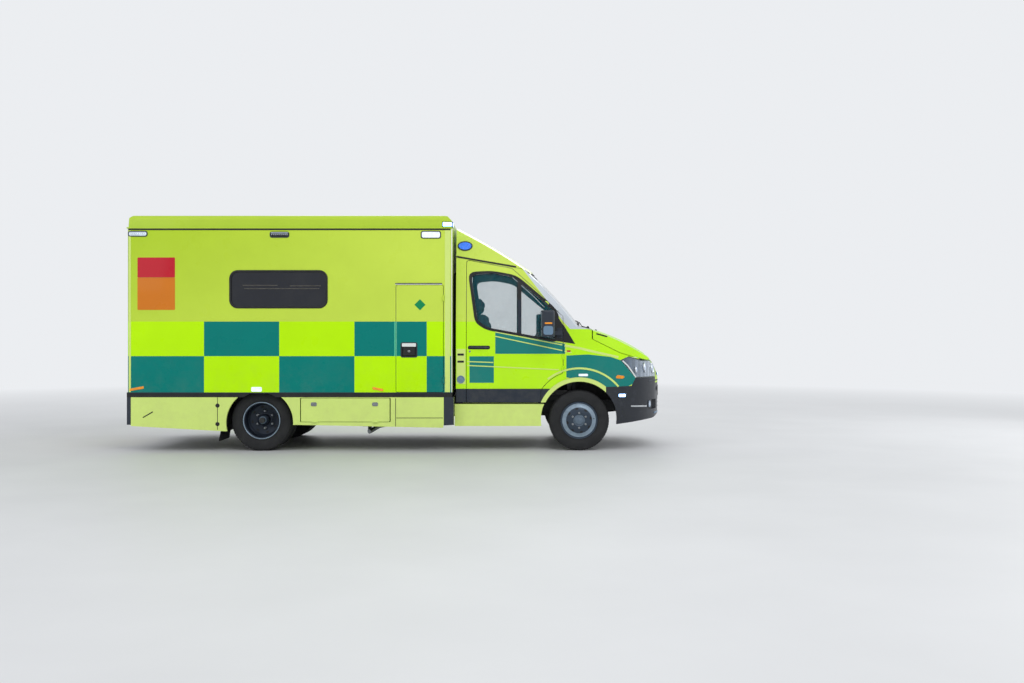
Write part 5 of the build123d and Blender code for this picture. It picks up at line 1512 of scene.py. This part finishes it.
def cushion(name, place, half, lean, seams=(), cells=22, power=3.6, pull=0.05, crown=0.0):
    """Soft pad: sides pulled in between its corners, a crowned face and sewn channels."""
    seam_depth, seam_width = 0.011, 0.035
    points, faces = [], []
    row = cells + 1
    for axis in range(3):
        for sign in (-1, 1):
            start = len(points)
            for i in range(row):
                for j in range(row):
                    cube = [0.0] * 3
                    cube[axis] = sign
                    cube[(axis + 1) % 3] = 2 * i / cells - 1
                    cube[(axis + 2) % 3] = 2 * j / cells - 1
                    size = sum(abs(c) ** power for c in cube) ** (1 / power)
                    x, y, z = (c / size for c in cube)
                    y *= 1 - pull * (1 - x * x)
                    x *= 1 - pull * (1 - y * y)
                    rise = z * half[2] * (1 + crown * (1 - x * x) * (1 - y * y))
                    for seam, along in seams:
                        off = ((x if along == "x" else abs(y)) - seam) / seam_width
                        rise -= math.copysign(seam_depth, z) * abs(z) * math.exp(-off ** 2)
                    points.append((x * half[0], y * half[1], rise))
            for i in range(cells):
                for j in range(cells):
                    a = start + i * row + j
                    face = (a, a + row, a + row + 1, a + 1)
                    faces.append(face if sign > 0 else face[::-1])
    turn = seat_turn(place, lean)
    pad = Shape().add([turn @ Vector(p) for p in points], faces).make(
        name, "fabric", smooth=180, weld=0.0004)


def piping(name, place, half, lean):
    """Welt sewn round the face of a pad."""
    stations, squareness = 48, 0.45
    inset, height = 0.955, 0.74  # as shares of the pad's half sizes
    turn = seat_turn(place, lean)
    path = []
    for station in range(stations):
        angle = 2 * math.pi * (station + 0.5) / stations
        x, y = (math.copysign(abs(value) ** squareness, value) * inset
                for value in (math.cos(angle), math.sin(angle)))
        x *= 1 - 0.05 * abs(math.sin(2 * angle))
        path.append(turn @ Vector((x * half[0], y * half[1], half[2] * height)))
    Shape().tube(path, 0.0045, 6, closed=True, up=UPWARD).make(name, "rubber", smooth=60)


def cab_seats():
    """Two front seats: base box, cushion, back with side rolls, head rest on two posts."""
    low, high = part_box("seats")
    inner_edge = 0.185
    middle_y = (high[1] + inner_edge) / 2
    posts = ((-1.262, 1.555), (-1.225, 1.615), (-1.195, 1.660))
    belt = ((-1.345, 0.780, 1.560), (-1.30, 0.765, 1.30), (-1.22, 0.735, 1.02),
            (-1.18, 0.720, 0.82))
    for side_name, side in SIDES.items():
        y = side * middle_y
        foot = rectangle(fx(-1.24), fx(-0.66), y - 0.19, y + 0.19)
        head = rectangle(fx(-1.20), fx(-0.64), y - 0.21, y + 0.21)
        Shape().prism([(*place, low[2] + 0.002) for place in foot],
                      [(*place, 0.838) for place in head]).make(
            f"seat_base_{side_name}", "plastic", bevel=0.012, segments=3,
            stands_for=("seats",) if side_name == "right" else ())
        seat = ((fx(-0.880), y, 0.905), (0.262, 0.236, 0.078), -4)
        cushion(f"seat_cushion_{side_name}", *seat,
                ((-0.45, "x"), (-0.05, "x"), (0.35, "x"), (0.62, "y")), crown=0.18)
        piping(f"seat_cushion_welt_{side_name}", *seat)
        cushion(f"seat_back_{side_name}", (fx(-1.192), y, 1.262), (0.345, 0.232, 0.066), -76,
                ((-0.55, "x"), (-0.15, "x"), (0.25, "x"), (0.62, "y")), crown=0.15)
        for index, way in enumerate((-1, 1)):
            cushion(f"seat_roll_{side_name}_{index}", (fx(-1.150), y + way * 0.192, 1.245),
                    (0.27, 0.040, 0.072), -76, cells=12, power=2.6, pull=0.0)
        cushion(f"head_rest_{side_name}", (fx(-1.185), y, 1.690), (0.088, 0.130, 0.048), -80,
                ((0.0, "x"),), cells=14, power=3.0, crown=0.2)
        pair = Shape()
        for way in (-1, 1):
            pair.tube([(fx(x), y + way * 0.06, z) for x, z in posts], 0.006)
        pair.make(f"head_rest_posts_{side_name}", "steel", smooth=60)
        Shape().tube([(fx(x), side * reach, z) for x, reach, z in belt], 0.022, 6,
                     flat=0.1).make(f"seat_belt_{side_name}", "rubber", smooth=60)


def dash_trim():
    """Instrument hood and dials, centre screen, vents, box lid and lever."""
    dash = skin("dashboard")
    driver_y = middle("steering_wheel").y
    low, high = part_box("dashboard")
    hood = ((0.045, -0.01), (0.060, 0.052), (0.130, 0.062), (0.260, 0.034), (0.330, -0.01))
    Shape().side_plate([(low[0] + x, high[2] + z) for x, z in hood],
                       (driver_y - 0.19, driver_y + 0.19)).make(
        "instrument_hood", "plastic", bevel=0.016, segments=4)
    vents, screens, lids = Shape(), Shape(), Shape()
    for y in (-0.70, -0.12, 0.12, 0.70):
        plate_behind(vents, (y - 0.055, y + 0.055), (1.145, 1.215), 0.012, dash, (-0.002, 0.006))
        for z in even(1.157, 1.2035, 4):
            lids.drape(rectangle(y - 0.046, y + 0.046, z - 0.003, z + 0.003), dash, -1, 0.005,
                       0.010, 0.2, "front")
    plate_behind(screens, (-0.120, 0.120), (0.990, 1.125), 0.010, dash, (-0.002, 0.006))
    plate_behind(lids, (0.230, 0.640), (0.950, 1.110), 0.020, dash, (-0.002, 0.005))
    vents.make("dash_vents", "rubber", bevel=0.002)
    screens.make("dash_screen", "gloss_black", bevel=0.001)
    lids.make("dash_lids_and_slats", "plastic", bevel=0.002)
    dials = Shape()
    for y in (driver_y - 0.085, driver_y + 0.085):
        dials.stud([(-0.004, 0.060), (0.004, 0.060), (0.004, 0.053), (0.001, 0.050)],
                   (low[0] + 0.046, y, high[2] + 0.012), (-1, 0, 0.25), 32)
    dials.make("instrument_dials", "gloss_black", smooth=30)
    rod = ((-0.560, 0.985), (-0.590, 1.060), (-0.600, 1.105))
    lever = Shape().tube([(fx(x), -0.13, z) for x, z in rod], 0.009, 10)
    lever.turned([(-0.03, ON_LINE), (-0.026, 0.016), (0.0, 0.024), (0.02, 0.020),
                  (0.03, ON_LINE)], (fx(-0.602), -0.13, 1.130), UPWARD, 20)
    lever.make("gear_lever", "rubber", smooth=50)


def door_cards():
    """Lining, arm rest and bin inside each cab door."""
    card = [(-1.215, 0.640), (-0.500, 0.640), (-0.330, 0.860), (-0.330, 1.225), (-1.060, 1.360),
            (-1.215, 1.360)]
    arm_rest = [(-1.120, 0.985), (-0.640, 0.985), (-0.600, 1.035), (-1.120, 1.050)]
    door_bin = [(-1.130, 0.690), (-0.620, 0.690), (-0.600, 0.820), (-1.130, 0.820)]
    for side_name, side in SIDES.items():
        door = f"cab_door_{side_name}"
        tree = skin(door)
        patch(f"door_card_{side_name}", "trim", tree, [eased(ahead(card), 0.05)], -side,
              (-0.002, 0.010), body=door, cell=0.12, bevel=0.003)
        Shape().drape(eased(ahead(arm_rest), 0.02), tree, -side, 0.008, 0.045, 0.2).drape(
            eased(ahead(door_bin), 0.03), tree, -side, 0.008, 0.035, 0.2).make(
            f"door_rest_{side_name}", "plastic", door, bevel=0.008, segments=3)


def gaiter():
    """Ribbed rubber between cab and box."""
    ribs = Shape()
    for x, reach in ((0.010, 0.0), (0.022, 0.012), (0.034, 0.0)):
        outline = rounded(-0.74 - reach, 0.74 + reach, 0.76 - reach, 2.06 + reach, 0.08, 5)
        ribs.tube([(box_front + x, y, z) for y, z in outline], 0.009, closed=True, up=FORWARD)
    ribs.make("cab_gaiter", "rubber", smooth=60)


rear_door_trim()
rear_lamps()
rear_step_trim()
under_trim()
entry_trim()
cab_seats()
dash_trim()
door_cards()
gaiter()

# Studio: pale floor and world, soft lamps, and the camera of the photograph
BACKDROP = (0.95, 0.97, 1.0, 1)
BACKDROP_STRENGTH = 0.88
WORLD_STRENGTH = 0.69


def pale_world():
    """World that lights softly, and shows brighter where it is seen directly."""
    world = bpy.data.worlds.new("studio")
    bpy.context.scene.world = world
    world.use_nodes = True
    nodes, links = world.node_tree.nodes, world.node_tree.links
    path = nodes.new("ShaderNodeLightPath")
    seen = nodes.new("ShaderNodeMath")
    seen.operation = "MAXIMUM"
    links.new(path.outputs["Is Camera Ray"], seen.inputs[0])
    links.new(path.outputs["Is Transmission Ray"], seen.inputs[1])
    strength = nodes.new("ShaderNodeMapRange")
    strength.inputs["To Min"].default_value = WORLD_STRENGTH
    strength.inputs["To Max"].default_value = BACKDROP_STRENGTH
    links.new(seen.outputs[0], strength.inputs["Value"])
    background = nodes["Background"]
    background.inputs["Color"].default_value = BACKDROP
    links.new(strength.outputs["Result"], background.inputs["Strength"])


def pale_floor():
    """Wide floor that fades into the backdrop with distance."""
    reach = 60.0
    mesh = bpy.data.meshes.new("studio_floor")
    corners = [(x, y, 0) for x, y in rectangle(-reach, reach, -reach, reach)]
    mesh.from_pydata(corners, [], [(0, 1, 2, 3)])
    floor = bpy.data.objects.new("studio_floor", mesh)
    bpy.context.collection.objects.link(floor)
    tree = Tree("floor_pale")
    greys = (0.60, 0.61, 0.62, 1), (0.64, 0.65, 0.66, 1)
    tree.set(Base_Color=tree.mix(tree.cloud(0.8, 4.0), *greys), Roughness=0.55)
    away = tree.distance(tree.x, tree.y).spread(5.0, 17.0)
    camera_ray = tree.node("LightPath", {}, "Is Camera Ray")
    glow = tree.node("Emission", {"Color": BACKDROP, "Strength": BACKDROP_STRENGTH})
    lit = Value(tree, tree.shader.outputs[0])
    blend = tree.node("MixShader", {0: away * camera_ray, 1: lit, 2: glow})
    tree.put(tree.nodes["Material Output"].inputs["Surface"], blend)
    mesh.materials.append(tree.material)


def soft_lamps():
    """Four large lamps round the vehicle, aimed at its middle."""
    aim = Vector((0, 0, 1.2))
    # Columns: name, place, size, power
    for name, place, size, power in (("key", (4.5, -9.0, 8.5), 7.0, 450),
                                     ("fill", (-7.5, -7.5, 5.5), 7.0, 190),
                                     ("back", (0.0, 9.0, 7.5), 8.0, 330),
                                     ("front", (9.5, 1.0, 4.0), 5.0, 170)):
        light = bpy.data.lights.new(name, "AREA")
        light.size = size
        light.energy = power
        lamp = bpy.data.objects.new(name, light)
        lamp.location = place
        lamp.rotation_euler = (aim - Vector(place)).to_track_quat("-Z", "Y").to_euler()
        bpy.context.collection.objects.link(lamp)


def photograph_camera():
    image_width, image_height = 1024, 683
    focal_pixels = 1051
    horizon_row = 335
    eye = (fx(-0.776), -13.1, 1.337)
    data = bpy.data.cameras.new("photograph")
    data.sensor_width = 36.0
    data.lens = data.sensor_width * focal_pixels / image_width
    data.shift_y = (horizon_row - image_height / 2) / image_width
    data.clip_end = 400
    camera = bpy.data.objects.new("photograph", data)
    camera.location = eye
    camera.rotation_euler = (math.radians(90), 0, 0)
    bpy.context.collection.objects.link(camera)
    bpy.context.scene.camera = camera


pale_world()
pale_floor()
soft_lamps()
photograph_camera()
bpy.context.scene.view_settings.view_transform = "Standard"
